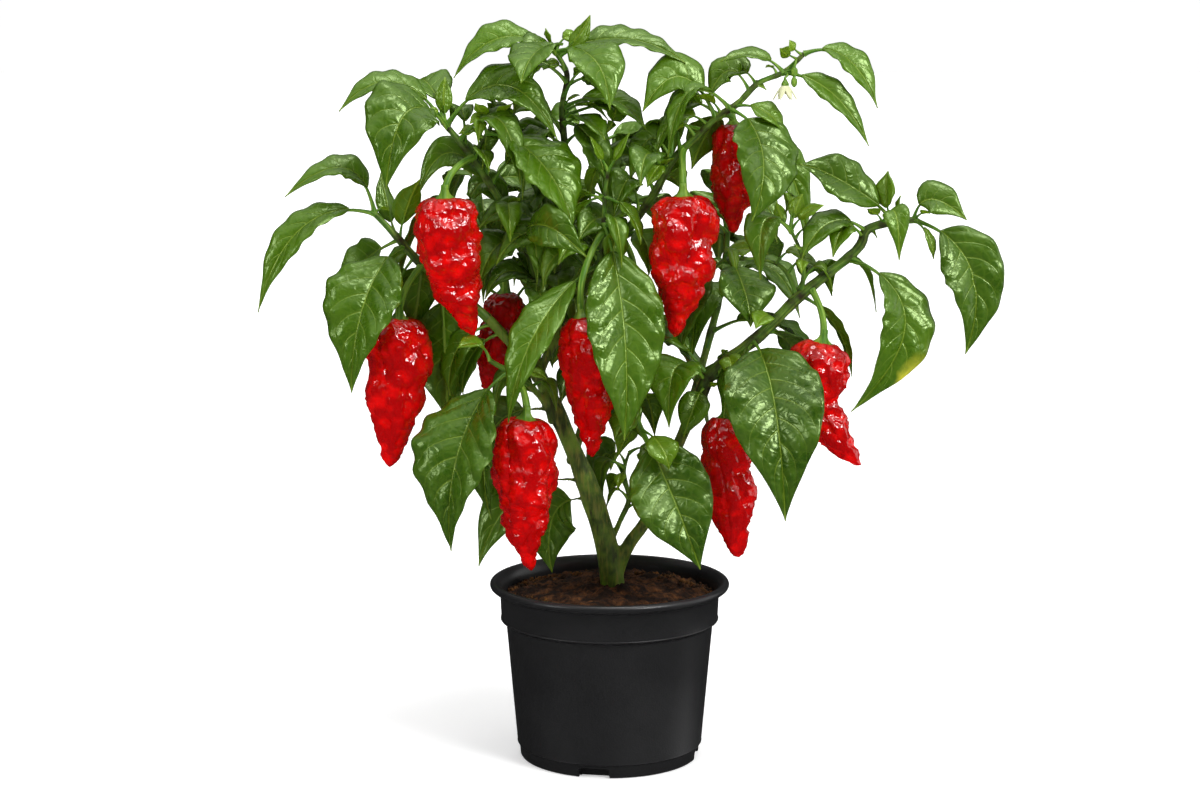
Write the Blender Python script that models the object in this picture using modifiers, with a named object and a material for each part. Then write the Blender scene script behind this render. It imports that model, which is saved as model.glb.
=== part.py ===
"""A chilli pepper plant with ripe wrinkled fruit, growing in a round nursery pot.

Lengths in this file are millimetres, and the meshes are made in metres. +Z is up, the front
is -Y, and the origin is the centre of the pot's underside.

The plant is laid out from the front. A place on it is written (x, z, y): x and z are where it
shows against the trunk's own upright plane, y = 0, for somebody whose eye is at EYE, and y is
how deep it lies, negative in front of the trunk. So a leaf can be bent nearer or further away
to clear its neighbours and still shows in the same place.
"""
import math
import random

import bmesh
import bpy
from mathutils import Matrix, Vector
from mathutils.bvhtree import BVHTree

MM = 0.001
GAP = 0.3
SHARP_DEGREES = 40
EYE = Vector((-6.0, -1409.0, 436.0))
UP = Vector((0.0, 0.0, 1.0))

# ---- pot and soil -----------------------------------------------------------------------
POT_HEIGHT = 112.0
RIM_RADIUS = 75.0
POT_SIDES = 30
FLOOR = 2.0
# Outer side of the pot from the crest of its rolled rim down to the foot.
POT_OUTSIDE = [(72.6, POT_HEIGHT), (74.3, 111.2), (RIM_RADIUS, 109.2), (74.3, 107.0),
               (72.0, 106.0), (68.7, 105.4), (67.9, 88.2), (67.2, 86.6), (64.9, 85.6),
               (58.0, 8.4), (56.8, 7.8), (56.2, 0.6), (55.6, 0.0)]
# Inner side of the pot from the floor up to the rim.
POT_INSIDE = [(54.8, FLOOR), (56.4, 8.2), (63.2, 85.4), (66.0, 88.0), (67.1, 104.6),
              (70.6, 110.8)]
NOTCHES = 4
NOTCH_TURN = math.radians(-100)
NOTCH_WIDTH, NOTCH_HEIGHT, NOTCH_REACH = 19.0, 6.2, 12.0
# Top of the soil from the middle out to the wall: it is mounded round the trunk.
SOIL_TOP = [(15.0, 107.6), (32.0, 106.4), (50.0, 104.6), (66.5, 102.4)]
SOIL_SIDE = [(65.6, 88.4), (62.8, 85.6), (56.0, 8.0), (54.4, FLOOR + GAP)]
SOIL_LUMPS = 1.1

# ---- stems ------------------------------------------------------------------------------
STEM_SPACING = 24.0
END_STRAIGHT = 2.0
# Each row is (x, z, y, radius). "joint" is the row where the leafy stem leaves the trunk:
# the rows up to it are wood of the trunk's node, and the rest is the stem's own node.
STEMS = {
    "trunk": dict(node="trunk", rows=[
        (2, 72, 0, 7.6), (2, 107, 0, 8.2), (-4, 138, 0, 7.6), (-18, 174, -1, 6.4),
        (-30, 202, -2, 5.6), (-42, 232, 0, 5.0), (-48, 250, 4, 4.4)]),
    "right": dict(node="right_stem", joint=4, rows=[
        (3, 114, 0, 5.6), (9, 134, 1, 5.2), (21, 152, 2, 4.7), (41, 196, 0, 4.5),
        (57, 230, -4, 4.3), (64, 243, -5, 4.2), (93, 266, -6, 3.9), (117, 290, -4, 3.6),
        (151, 318, 0, 3.2), (158, 331, 1, 3.0), (174, 336, 2, 2.6), (187, 337, 2, 2.1)]),
    "right_twig": dict(node="right_stem", rows=[
        (116, 289, -4, 2.0), (107, 307, 5, 1.6), (92, 313, 10, 1.4), (70, 312, 12, 1.2)]),
    "right_shoot": dict(node="right_stem", rows=[
        (118, 291, -4, 1.8), (119, 312, -7, 1.5), (111, 331, -9, 1.2)]),
    "left": dict(node="left_stem", joint=2, rows=[
        (-44, 238, 1, 4.0), (-59, 258, 8, 3.7), (-76, 277, 11, 3.5), (-98, 296, 10, 3.2),
        (-117, 311, 8, 2.9), (-131, 327, 4, 2.5), (-144, 341, 2, 2.0)]),
    "upper_left": dict(node="upper_left_stem", joint=2, rows=[
        (-47, 246, 3, 4.2), (-50, 270, 12, 3.8), (-46, 294, 16, 3.5), (-50, 318, 12, 3.2),
        (-63, 342, 5, 2.9), (-84, 375, 0, 2.5), (-101, 396, -2, 1.9)]),
    "upper_left_twig": dict(node="upper_left_stem", rows=[
        (-84, 375, 0, 1.6), (-76, 388, -3, 1.4), (-71, 396, -5, 1.1)]),
    "top": dict(node="top_stem", joint=2, rows=[
        (-49, 262, 9, 3.4), (-36, 290, 24, 3.1), (-31, 318, 29, 2.9), (-26, 350, 27, 2.6),
        (-27, 376, 20, 2.4), (-29, 405, 13, 2.1), (-26, 425, 9, 1.8), (-33, 439, 5, 1.5)]),
    "upper_right": dict(node="upper_right_stem", joint=2, rows=[
        (-45, 240, 2, 3.8), (-30, 270, 9, 3.4), (-10, 302, 11, 3.1), (9, 328, 8, 2.9),
        (27, 353, 3, 2.7), (38, 373, 0, 2.5), (54, 389, -2, 2.4), (66, 400, -3, 2.3),
        (78, 408, -4, 2.1), (90, 420, -5, 1.9), (106, 427, -5, 1.7), (118, 438, -6, 1.4)]),
    "middle": dict(node="middle_stem", joint=1, rows=[
        (-20, 286, 10, 2.4), (-9, 306, -6, 2.2), (-4, 328, -12, 2.0), (-3, 352, -14, 1.7),
        (-1, 368, -14, 1.3)]),
    "low_left": dict(node="low_left_stem", joint=1, rows=[
        (-38, 222, 0, 2.6), (-51, 236, -14, 2.4), (-62, 243, -24, 2.1), (-74, 250, -30, 1.6)]),
    "low_right": dict(node="low_right_stem", joint=1, rows=[
        (34, 182, 1, 2.6), (24, 198, -14, 2.3), (17, 216, -22, 2.0), (20, 236, -26, 1.6)]),
    "low_shoot": dict(node="low_shoot", joint=1, rows=[
        (0, 134, 0, 2.6), (7, 150, 8, 2.2), (12, 163, 12, 1.9), (9, 180, 15, 1.5),
        (12, 192, 16, 1.1)]),
    "back_left": dict(node="back_left_stem", joint=2, rows=[
        (-35, 212, 0, 3.6), (-43, 236, 26, 3.3), (-51, 260, 48, 3.1), (-64, 292, 66, 2.8),
        (-74, 325, 78, 2.4), (-80, 354, 88, 1.8)]),
    "back": dict(node="back_stem", joint=2, rows=[
        (-24, 186, 0, 4.0), (-16, 212, 24, 3.6), (-10, 236, 44, 3.3), (-5, 272, 68, 2.9),
        (0, 312, 86, 2.5), (-2, 350, 100, 2.1), (-8, 382, 108, 1.6)]),
    "back_right": dict(node="back_right_stem", joint=2, rows=[
        (46, 206, 0, 3.6), (53, 232, 24, 3.3), (60, 258, 46, 3.1), (68, 292, 66, 2.7),
        (72, 326, 80, 2.3), (68, 356, 90, 1.7)]),
}

# ---- leaves -----------------------------------------------------------------------------
# Each row is (stem, row of the stem it grows at, knee, tip, half width, roll): the midrib
# leaves the stem, bends over at the knee and ends at the tip, and the blade is rolled about
# its midrib by so many degrees.
LEAVES = [
    ("upper_left", 6, (-135, 423, -6), (-165, 403, -12), 12, -34),
    ("upper_left", 6, (-112, 424, 16), (-121, 416, 42), 16, 0),
    ("upper_left", 5.9, (-122, 394, -28), (-141, 356, -40), 24, 8),
    ("upper_left", 6, (-66, 421, -10), (-32, 386, -16), 15, 42),
    ("upper_left", 6, (-101, 410, 2), (-100, 424, 4), 5.5, -60),
    ("upper_left_twig", 1.2, (-46, 380, -18), (-23, 330, -30), 22, 20),
    ("upper_left_twig", 2, (-66, 404, -8), (-59, 408, -12), 6, 0),
    ("upper_left_twig", 2, (-76, 402, -8), (-82, 408, -14), 5, -20),
    ("upper_left", 3.5, (-40, 334, -20), (-14, 314, -30), 13, 25),
    ("upper_left", 3.2, (-68, 324, -10), (-80, 298, -16), 13, -25),
    ("left", 6, (-158, 369, 0), (-199, 351, -6), 12, -35),
    ("left", 6, (-178, 345, -10), (-217, 280, -18), 13, -26),
    ("left", 4.7, (-152, 300, -24), (-162, 232, -34), 25, -6),
    ("left", 5, (-150, 326, 12), (-172, 306, 22), 15, -10),
    ("left", 5, (-124, 348, 0), (-116, 362, -6), 9, -30),
    ("left", 5, (-138, 350, 10), (-140, 366, 14), 7, -50),
    ("left", 3.3, (-103, 272, -4), (-100, 212, -8), 20, 0),
    ("top", 7, (-62, 450, 0), (-95, 423, -4), 13, -32),
    ("top", 7, (-45, 442, -24), (-54, 420, -46), 17, 0),
    ("top", 7, (-19, 447, 2), (-12, 461, 0), 7, 60),
    ("top", 7, (-37, 446, 2), (-39, 453, 0), 4, 0),
    ("top", 7, (-10, 438, -20), (0, 404, -36), 17, 20),
    ("top", 6.8, (3, 449, 4), (46, 432, 0), 13, 34),
    ("top", 4.3, (-50, 391, 8), (-62, 376, 0), 11, -20),
    ("top", 4.4, (-15, 392, 6), (0, 360, 0), 8, 40),
    ("top", 5, (2, 412, 8), (22, 392, 2), 13, 30),
    ("top", 2.7, (-12, 326, 8), (8, 302, 0), 13, 20),
    ("top", 3.4, (-44, 354, 14), (-58, 328, 10), 12, -20),
    ("upper_right", 7, (40, 427, -6), (20, 408, -14), 14, -34),
    ("upper_right", 8, (95, 404, -12), (107, 389, -16), 9, 20),
    ("upper_right", 7.6, (93, 388, -26), (87, 336, -40), 22, 0),
    ("upper_right", 10, (90, 438, -4), (67, 433, -8), 9, -40),
    ("upper_right", 9, (76, 430, 6), (60, 424, 10), 10, -40),
    ("upper_right", 11, (111, 441, -4), (109, 446, -6), 4.5, 0),
    ("upper_right", 5, (30, 370, -8), (23, 357, -12), 7, 0),
    ("upper_right", 5, (41, 402, 12), (52, 420, 24), 13, -20),
    ("upper_right", 11, (141, 440, -10), (163, 405, -16), 12, 34),
    ("upper_right", 10, (130, 421, -14), (158, 380, -20), 9, 26),
    ("upper_right", 3.6, (12, 364, -8), (2, 338, -18), 12, -20),
    ("upper_right", 4.2, (8, 378, 4), (-4, 354, -2), 12, -20),
    ("right", 10, (144, 362, -4), (113, 371, -10), 14, -40),
    ("right", 10, (168, 350, 6), (170, 363, 10), 9, -40),
    ("right", 10.4, (176, 346, -2), (178, 352, -4), 4, 0),
    ("right", 11, (204, 352, -4), (219, 337, -8), 11, 45),
    ("right", 8, (182, 286, -16), (155, 218, -26), 20, 50),
    ("right", 11, (219, 316, -12), (223, 256, -20), 20, 56),
    ("right", 11, (194, 331, -4), (199, 313, -8), 5, 0),
    ("right", 9, (138, 338, -10), (118, 313, -20), 12, -25),
    ("right", 7, (128, 312, 14), (137, 290, 24), 13, 0),
    ("right", 6, (98, 244, -50), (112, 151, -76), 29, 0),
    ("right", 6, (110, 266, 12), (118, 238, 24), 15, 0),
    ("right", 6, (80, 250, -16), (71, 214, -26), 12, 0),
    ("right", 7.1, (142, 270, 12), (150, 240, 14), 6, 0),
    ("right_shoot", 2, (98, 340, -20), (93, 300, -28), 12, -20),
    ("right_shoot", 2, (104, 341, -4), (102, 348, -8), 4.5, 0),
    ("right_shoot", 2, (114, 343, -6), (118, 353, -8), 5.5, -30),
    ("right_shoot", 2, (122, 343, -8), (131, 346, -10), 5.5, 30),
    ("right_twig", 3, (82, 302, -6), (87, 271, -16), 20, 0),
    ("middle", 2.4, (7, 280, -46), (9, 200, -60), 26, 4),
    ("middle", 1.3, (-39, 284, -24), (-65, 211, -38), 16, -18),
    ("middle", 3, (-15, 348, -16), (-26, 324, -24), 9, -20),
    ("middle", 3, (9, 346, -18), (19, 322, -26), 9, 20),
    ("middle", 4, (-6, 378, -16), (-12, 388, -18), 5.5, -30),
    ("middle", 4, (5, 379, -16), (12, 390, -18), 5.5, 30),
    ("low_left", 2.2, (-91, 212, -50), (-94, 132, -62), 30, -4),
    ("low_left", 3, (-82, 262, -34), (-94, 258, -40), 10, -20),
    ("trunk", 4.6, (-68, 214, 10), (-74, 150, 4), 19, -20),
    ("trunk", 3.1, (-52, 170, 12), (-81, 120, 8), 16, -55),
    ("trunk", 2.8, (-32, 160, 4), (-38, 116, 2), 15, -55),
    ("low_right", 1.6, (31, 184, -42), (57, 118, -58), 25, 6),
    ("low_right", 1.5, (30, 200, -24), (37, 182, -30), 10, 0),
    ("low_right", 3, (14, 226, -34), (3, 200, -40), 14, 0),
    ("right", 4.6, (42, 250, -22), (37, 208, -32), 20, -10),
    ("right", 4.3, (54, 226, -20), (46, 202, -26), 10, 0),
    ("low_shoot", 3, (-3, 192, 18), (-9, 168, 20), 12, -40),
    ("low_shoot", 4, (20, 196, 14), (24, 178, 10), 9, 40),
    ("low_shoot", 2, (4, 170, 10), (-2, 158, 8), 5, 0),
    ("low_shoot", 2, (18, 162, 6), (24, 151, 2), 5, 0),
]

# Leaves further back follow a rule: (stem, first row, last row, leaves, longest leaf, seed).
SPROUTS = [
    ("back_left", 2.3, 5, 7, 96, 3),
    ("back", 2.3, 6, 9, 98, 5),
    ("back_right", 2.3, 5, 7, 96, 8),
    ("top", 2.6, 5.6, 4, 68, 14),
    ("upper_right", 2.8, 4.6, 2, 70, 17),
]
LEAF_THICK = 0.7
PETIOLE_HALF, PETIOLE_THICK, PETIOLE_TOP_THICK = 1.1, 2.0, 1.2
# The halves of a blade fold up from the midrib, and its margins wave: shares of its width.
LEAF_FOLD, LEAF_WAVE = 0.28, 0.12
GOLDEN_ANGLE = math.radians(137.5)
SPARE = 0.8
DEPTH_SHIFTS = (0, -6, 6, -12, 12, -18, 18, -26, 26, -34, 34)
TRIES = 14
NODE_SPREAD = 5

# ---- fruits -----------------------------------------------------------------------------
# Each row is (stem, row of the stem, top, tip, width, sideways bend, shape).
FRUITS = {
    "pepper_1": ("upper_left", 5, (-101, 349, -22), (-84, 266, -22), 38, -4, "full"),
    "pepper_2": ("left", 3.9, (-130, 275, -6), (-137, 184, -8), 41, 1, "full"),
    "pepper_3": ("low_left", 1.7, (-52, 212, -42), (-49, 118, -44), 38, -3, "full"),
    "pepper_4": ("middle", 2.1, (-17, 276, -34), (-11, 190, -36), 32, 2, "full"),
    "pepper_5": ("upper_right", 5.4, (45, 350, -20), (40, 265, -22), 38, 2, "full"),
    "pepper_6": ("upper_right", 7.1, (75, 394, 8), (76, 330, 8), 26, 0, "slim"),
    "pepper_7": ("right", 7.2, (131, 260, -16), (156, 185, -20), 35, -11, "waisted"),
    "pepper_8": ("right", 5.2, (72, 213, -18), (81, 126, -22), 32, -2, "slim"),
    "pepper_9": ("back_left", 2.9, (-65, 291, 29), (-77, 232, 27), 27, 3, "slim"),
    "pepper_10": ("back_left", 4.2, (-101, 338, 100), (-92, 270, 102), 31, 3, "full"),
    "pepper_11": ("back", 4.6, (14, 296, 112), (10, 214, 114), 35, -3, "full"),
    "pepper_12": ("back_right", 4.4, (46, 338, 88), (42, 270, 88), 31, -3, "waisted"),
}
# How far down the fruit, and how wide: both as shares of its length and half width.
FRUIT_SHAPES = {
    "full": [(0.0, 0.0), (0.0, 0.42), (-0.015, 0.66), (0.03, 0.86), (0.14, 0.99), (0.30, 1.0),
             (0.46, 0.93), (0.60, 0.76), (0.72, 0.56), (0.83, 0.37), (0.92, 0.25),
             (0.98, 0.17), (1.0, 0.0)],
    "slim": [(0.0, 0.0), (0.0, 0.45), (-0.01, 0.68), (0.04, 0.84), (0.15, 0.94), (0.28, 0.88),
             (0.40, 0.94), (0.54, 1.0), (0.67, 0.84), (0.79, 0.56), (0.89, 0.34),
             (0.97, 0.22), (1.0, 0.0)],
    "waisted": [(0.0, 0.0), (0.0, 0.42), (-0.015, 0.7), (0.03, 0.92), (0.12, 1.0),
                (0.24, 0.98), (0.34, 0.80), (0.44, 0.52), (0.56, 0.50), (0.68, 0.56),
                (0.82, 0.36), (0.95, 0.22), (1.0, 0.0)],
}
FRUIT_SIDES = 11
CALYX_RADIUS, CALYX_HEIGHT, CALYX_LOBES = 7.2, 3.6, 5
PEDUNCLE_RADIUS = 2.1
FRUIT_BUMPS = 0.07

# ---- flower and buds --------------------------------------------------------------------
FLOWER_TOP = (106.5, 419, -12)
FLOWER_SPREAD, FLOWER_DROP, FLOWER_PETALS = 7.4, 9.0, 6
BUDS = [(10.2, (113, 434, -9), (112, 430, -10)), (10.0, (113, 428, -10), (112, 424, -11))]


# =========================================================================================
def clear_scene():
    for obj in list(bpy.data.objects):
        bpy.data.objects.remove(obj, do_unlink=True)


def new_collection(name):
    collection = bpy.data.collections.new(name)
    bpy.context.scene.collection.children.link(collection)
    return collection


def material(name, colour, roughness, metallic=0.0):
    mat = bpy.data.materials.new(name)
    mat.use_nodes = True
    shader = mat.node_tree.nodes["Principled BSDF"]
    shader.inputs["Base Color"].default_value = (*colour, 1.0)
    shader.inputs["Roughness"].default_value = roughness
    shader.inputs["Metallic"].default_value = metallic
    mat.diffuse_color = (*colour, 1.0)
    return mat


def add_object(name, mesh, collection, mat=None):
    obj = bpy.data.objects.new(name, mesh)
    collection.objects.link(obj)
    if mat:
        mesh.materials.clear()
        mesh.materials.append(mat)
    return obj


def mesh_from_bmesh(name, bm):
    mesh = bpy.data.meshes.new(name)
    bmesh.ops.recalc_face_normals(bm, faces=bm.faces)
    bm.to_mesh(mesh)
    bm.free()
    return mesh


def applied(obj):
    """The object's evaluated mesh, with its modifiers in it."""
    depsgraph = bpy.context.evaluated_depsgraph_get()
    return bpy.data.meshes.new_from_object(obj.evaluated_get(depsgraph))


def seen(x, z, y):
    """The point y deep that shows at (x, z) of the trunk's plane from the eye."""
    share = 1.0 - y / EYE.y
    return Vector((EYE.x + (x - EYE.x) * share, y, EYE.z + (z - EYE.z) * share))


# ---- pot and soil -----------------------------------------------------------------------
def turned(name, profile, sides, collection, mat):
    """A solid of revolution whose profile starts and ends on the Z axis."""
    bm = bmesh.new()
    verts = [bm.verts.new((r * MM, 0.0, z * MM)) for r, z in profile]
    for a, b in zip(verts, verts[1:]):
        bm.edges.new((a, b))
    mesh = bpy.data.meshes.new(name)
    bm.to_mesh(mesh)
    bm.free()
    obj = add_object(name, mesh, collection, mat)
    screw = obj.modifiers.new("turn", "SCREW")
    screw.steps = sides
    screw.render_steps = sides
    screw.use_merge_vertices = True
    screw.merge_threshold = 0.00001
    return obj


def cut(obj, cutter):
    boolean = obj.modifiers.new("cut", "BOOLEAN")
    boolean.operation = "DIFFERENCE"
    boolean.solver = "EXACT"
    boolean.object = cutter
    cutter.hide_render = True
    cutter.display_type = "WIRE"


def make_pot(parts, cutters):
    profile = [(0.0, FLOOR), *POT_INSIDE, *POT_OUTSIDE, (0.0, 0.0)]
    pot = turned("pot", profile, POT_SIDES, parts,
                 material("black_polypropylene", (0.012, 0.012, 0.013), 0.45))
    foot_radius = POT_OUTSIDE[-1][0]
    for i in range(NOTCHES):
        angle = NOTCH_TURN + i * 2 * math.pi / NOTCHES
        bm = bmesh.new()
        bmesh.ops.create_cube(bm, size=1.0)
        bmesh.ops.scale(bm, verts=bm.verts, vec=Vector((NOTCH_REACH, NOTCH_WIDTH,
                                                        2 * NOTCH_HEIGHT)) * MM)
        cutter = add_object(f"notch_cutter_{i}", mesh_from_bmesh("notch", bm), cutters)
        cutter.location = Matrix.Rotation(angle, 3, "Z") @ Vector((foot_radius * MM, 0, 0))
        cutter.rotation_euler.z = angle
        cut(pot, cutter)
    return pot


def make_soil(parts, cutters):
    profile = [(0.0, SOIL_TOP[0][1]), *SOIL_TOP, *SOIL_SIDE, (0.0, FLOOR + GAP)]
    blank = turned("soil_blank", profile, POT_SIDES, parts, None)
    mesh = applied(blank)
    bpy.data.objects.remove(blank, do_unlink=True)
    lowest_top = SOIL_TOP[-1][1] * MM
    for v in mesh.vertices:
        if v.co.z > lowest_top - MM:
            x, y = v.co.x / MM, v.co.y / MM
            lump = math.sin(0.23 * x + 1.3) * math.sin(0.19 * y) + 0.6 * math.sin(0.31 * y - 0.2 * x)
            v.co.z += SOIL_LUMPS * lump * MM
    soil = add_object("soil", mesh, parts, material("peat_soil", (0.05, 0.026, 0.014), 0.95))
    base = seen(*STEMS["trunk"]["rows"][0][:3])
    bm = bmesh.new()
    radius = (STEMS["trunk"]["rows"][1][3] + GAP) * MM
    bmesh.ops.create_cone(bm, cap_ends=True, segments=24, radius1=radius, radius2=radius,
                          depth=2 * (POT_HEIGHT - base.z + GAP) * MM)
    hole = add_object("trunk_hole", mesh_from_bmesh("trunk_hole", bm), cutters)
    hole.location = (base.x * MM, base.y * MM, POT_HEIGHT * MM)
    cut(soil, hole)
    return soil


# ---- stems ------------------------------------------------------------------------------
def path_of(name):
    """A stem's axis: four-part vectors of place and radius."""
    return [Vector((*seen(x, z, y), r)) for x, z, y, r in STEMS[name]["rows"]]


def on_path(path, u):
    """Place and radius u rows along a path, on a smooth curve through its rows."""
    i = min(int(u), len(path) - 2)
    f = u - i
    a, b, c, d = (path[min(max(j, 0), len(path) - 1)] for j in (i - 1, i, i + 1, i + 2))
    return 0.5 * (2 * b + (c - a) * f + (2 * a - 5 * b + 4 * c - d) * f ** 2
                  + (3 * b - a - 3 * c + d) * f ** 3)


def direction(path, u):
    step = 0.02
    last = len(path) - 1
    ahead = on_path(path, min(u + step, last)).to_3d()
    return (ahead - on_path(path, max(u - step, 0)).to_3d()).normalized()


def sampled(path, first, last):
    """Rows about STEM_SPACING apart along a path, from row first to row last."""
    rows = [on_path(path, first)]
    for i in range(int(first), math.ceil(last)):
        lo, hi = max(i, first), min(i + 1, last)
        length = (on_path(path, hi) - on_path(path, lo)).to_3d().length
        count = max(1, round(length / STEM_SPACING))
        rows += [on_path(path, lo + (hi - lo) * k / count) for k in range(1, count + 1)]
    return rows


def with_flat_end(rows, heading, at_start, offset):
    """Squares a tube's end: its last stretch runs straight along the heading."""
    end = rows[0] if at_start else rows[-1]
    move = heading.to_4d()
    move.w = 0.0
    if at_start:
        return [end + move * offset, end + move * (offset + END_STRAIGHT), *rows[1:]]
    return [*rows[:-1], end - move * END_STRAIGHT, end]


def tube(name, rows, collection, sides=6):
    """A closed tapering tube along rows of place and radius."""
    curve = bpy.data.curves.new(name, "CURVE")
    curve.dimensions = "3D"
    curve.bevel_depth = MM
    curve.bevel_resolution = sides // 2 - 2
    curve.use_fill_caps = True
    spline = curve.splines.new("POLY")
    spline.points.add(len(rows) - 1)
    for point, row in zip(spline.points, rows):
        point.co = (*(row.to_3d() * MM), 1.0)
        point.radius = row.w
    obj = add_object(name, curve, collection)
    mesh = applied(obj)
    bpy.data.objects.remove(obj, do_unlink=True)
    bm = bmesh.new()
    bm.from_mesh(mesh)
    bmesh.ops.remove_doubles(bm, verts=bm.verts, dist=0.00001)
    return add_object(name, mesh_from_bmesh(name, bm), collection)


def stem_pieces(collection_of):
    """Every stem's tubes, each in the collection of the node it is fused into."""
    for name, stem in STEMS.items():
        path = path_of(name)
        last = len(path) - 1
        joint = stem.get("joint")
        sides = 8 if name in ("trunk", "right") else 6
        if joint is None:
            tube(name, sampled(path, 0, last), collection_of(stem["node"]), sides)
            continue
        heading = direction(path, joint)
        wood = with_flat_end(sampled(path, 0, joint), heading, False, 0.0)
        green = with_flat_end(sampled(path, joint, last), heading, True, GAP)
        tube(name + "_limb", wood, collection_of("trunk"), sides)
        tube(name, green, collection_of(stem["node"]), sides)


# ---- leaves -----------------------------------------------------------------------------
class Leaf:
    """One leaf: where it grows, how its midrib runs and how its blade is turned."""

    def __init__(self, stem, base, knee, tip, half, roll, index):
        self.node = STEMS[stem]["node"]
        self.base, self.knee, self.tip = base, knee, tip
        self.half, self.roll = half, math.radians(roll)
        self.index = index
        near, far = (knee - base).length, (tip - knee).length
        self.length = near + far
        self.turn = min(max(near / self.length, 0.3), 0.65)
        self.blade = min(0.45, (5.0 + 0.11 * self.length) / self.length)

    def pushed(self, depth):
        """The same leaf with its knee and tip moved along the lines of sight."""
        knee, tip = (p + (p - EYE) * (depth / (p.y - EYE.y)) for p in (self.knee, self.tip))
        leaf = Leaf.__new__(Leaf)
        leaf.__dict__.update(self.__dict__, knee=knee, tip=tip)
        return leaf

    def midrib(self, t):
        """Place and heading along the midrib: a curve from base to tip through the knee."""
        k = self.turn
        bend = (self.knee - (1 - k) ** 2 * self.base - k * k * self.tip) / (2 * k * (1 - k))
        place = (1 - t) ** 2 * self.base + 2 * t * (1 - t) * bend + t * t * self.tip
        heading = (1 - t) * (bend - self.base) + t * (self.tip - bend)
        return place, heading.normalized(), bend

    def facing(self, heading, bend):
        """The way the upper side faces, square to the heading."""
        chord = (self.tip - self.base).normalized()
        outward = (bend - self.base) - chord * (bend - self.base).dot(chord)
        if outward.length < 0.5:
            outward = UP
        across = heading.cross(outward)
        if across.length < 0.05:
            across = heading.cross(UP)
        normal = across.cross(heading).normalized()
        return Matrix.Rotation(self.roll, 3, heading) @ normal

    def half_at(self, s):
        """Half width a share s along the blade: ovate, drawn out to a narrow tip."""
        taper = 1.0 - 0.35 * max(0.0, (s - 0.7) / 0.3)
        widest = 0.4 ** 0.7 * 0.6 ** 1.05
        return self.half * s ** 0.7 * (1 - s) ** 1.05 / widest * taper

    def stations(self):
        """(share of the whole, half width, thickness) for each section short of the tip."""
        shares = [0.14, 0.4, 0.72] if self.length > 42 else [0.2, 0.62]
        if self.length < 22:
            shares = [0.35]
        rows = [(0.0, PETIOLE_HALF, PETIOLE_THICK), (self.blade, PETIOLE_HALF, PETIOLE_TOP_THICK)]
        for s in shares:
            rows.append((self.blade + (1 - self.blade) * s, self.half_at(s), LEAF_THICK))
        return rows

    def mesh(self, spare=0.0, from_blade=False):
        """The leaf as a loft of six-cornered sections, in millimetres."""
        bm = bmesh.new()
        rings = []
        for t, half, thick in self.stations()[1 if from_blade else 0:]:
            place, heading, bend = self.midrib(t)
            normal = self.facing(heading, bend)
            across = heading.cross(normal)
            fold = LEAF_FOLD * max(0.0, half - PETIOLE_HALF)
            wave = LEAF_WAVE * half * math.sin(9.0 * t + 2.4 * self.index)
            edges = [(half + spare, fold + wave), (0.0, 0.0), (-half - spare, fold - wave)]
            middle = [place + across * a + normal * n for a, n in edges]
            lift = normal * (thick / 2 + spare)
            top = [bm.verts.new(p + lift) for p in middle]
            bottom = [bm.verts.new(p - lift) for p in reversed(middle)]
            rings.append(top + bottom)
        # Both faces of the blade are split along the same diagonals.
        for a, b in zip(rings, rings[1:]):
            for i, j in ((0, 1), (2, 1), (5, 4), (3, 4)):
                bm.faces.new((a[i], a[j], b[j]))
                bm.faces.new((a[i], b[j], b[i]))
            for i, j in ((0, 5), (2, 3)):
                bm.faces.new((a[i], a[j], b[j]))
                bm.faces.new((a[i], b[j], b[i]))
        start, end = rings[0], rings[-1]
        bm.faces.new((start[0], start[1], start[4], start[5]))
        bm.faces.new((start[1], start[2], start[3], start[4]))
        place, heading, bend = self.midrib(1.0)
        lift = self.facing(heading, bend) * (LEAF_THICK / 2 + spare)
        above, below = bm.verts.new(place + lift), bm.verts.new(place - lift)
        for i, j, point in ((0, 1, above), (1, 2, above), (3, 4, below), (4, 5, below)):
            bm.faces.new((end[i], end[j], point))
        for i, j in ((0, 5), (2, 3)):
            bm.faces.new((end[i], end[j], below))
            bm.faces.new((end[i], below, above))
        bmesh.ops.recalc_face_normals(bm, faces=bm.faces)
        return bm


class Obstacles:
    """Finished solids that later leaves have to clear."""

    def __init__(self):
        self.items = []

    def add(self, bm, node, blade_of=None):
        tree = BVHTree.FromBMesh(bm)
        corners = [[f(v.co[i] for v in bm.verts) for i in range(3)] for f in (min, max)]
        self.items.append((tree, corners, node, blade_of))

    def clear(self, bm, node, blades_only):
        """Whether the shape misses the other nodes' solids, or its own node's blades."""
        tree = BVHTree.FromBMesh(bm)
        low, high = ([f(v.co[i] for v in bm.verts) for i in range(3)] for f in (min, max))
        for other, corners, owner, is_blade in self.items:
            if blades_only != (owner == node) or (blades_only and not is_blade):
                continue
            if not blades_only and is_blade:
                continue
            apart = any(low[i] > corners[1][i] or high[i] < corners[0][i] for i in range(3))
            if not apart and tree.overlap(other):
                return False
        return True


def crosses_itself(bm):
    tree = BVHTree.FromBMesh(bm)
    bm.faces.ensure_lookup_table()
    corners = [set(face.verts) for face in bm.faces]
    return any(not corners[a] & corners[b] for a, b in tree.overlap(tree) if a != b)


def fits(leaf, obstacles):
    whole = leaf.mesh(spare=SPARE)
    free = not crosses_itself(whole) and obstacles.clear(whole, leaf.node, False)
    whole.free()
    if free:
        blade = leaf.mesh(spare=GAP, from_blade=True)
        free = obstacles.clear(blade, leaf.node, True)
        blade.free()
    return free


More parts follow.
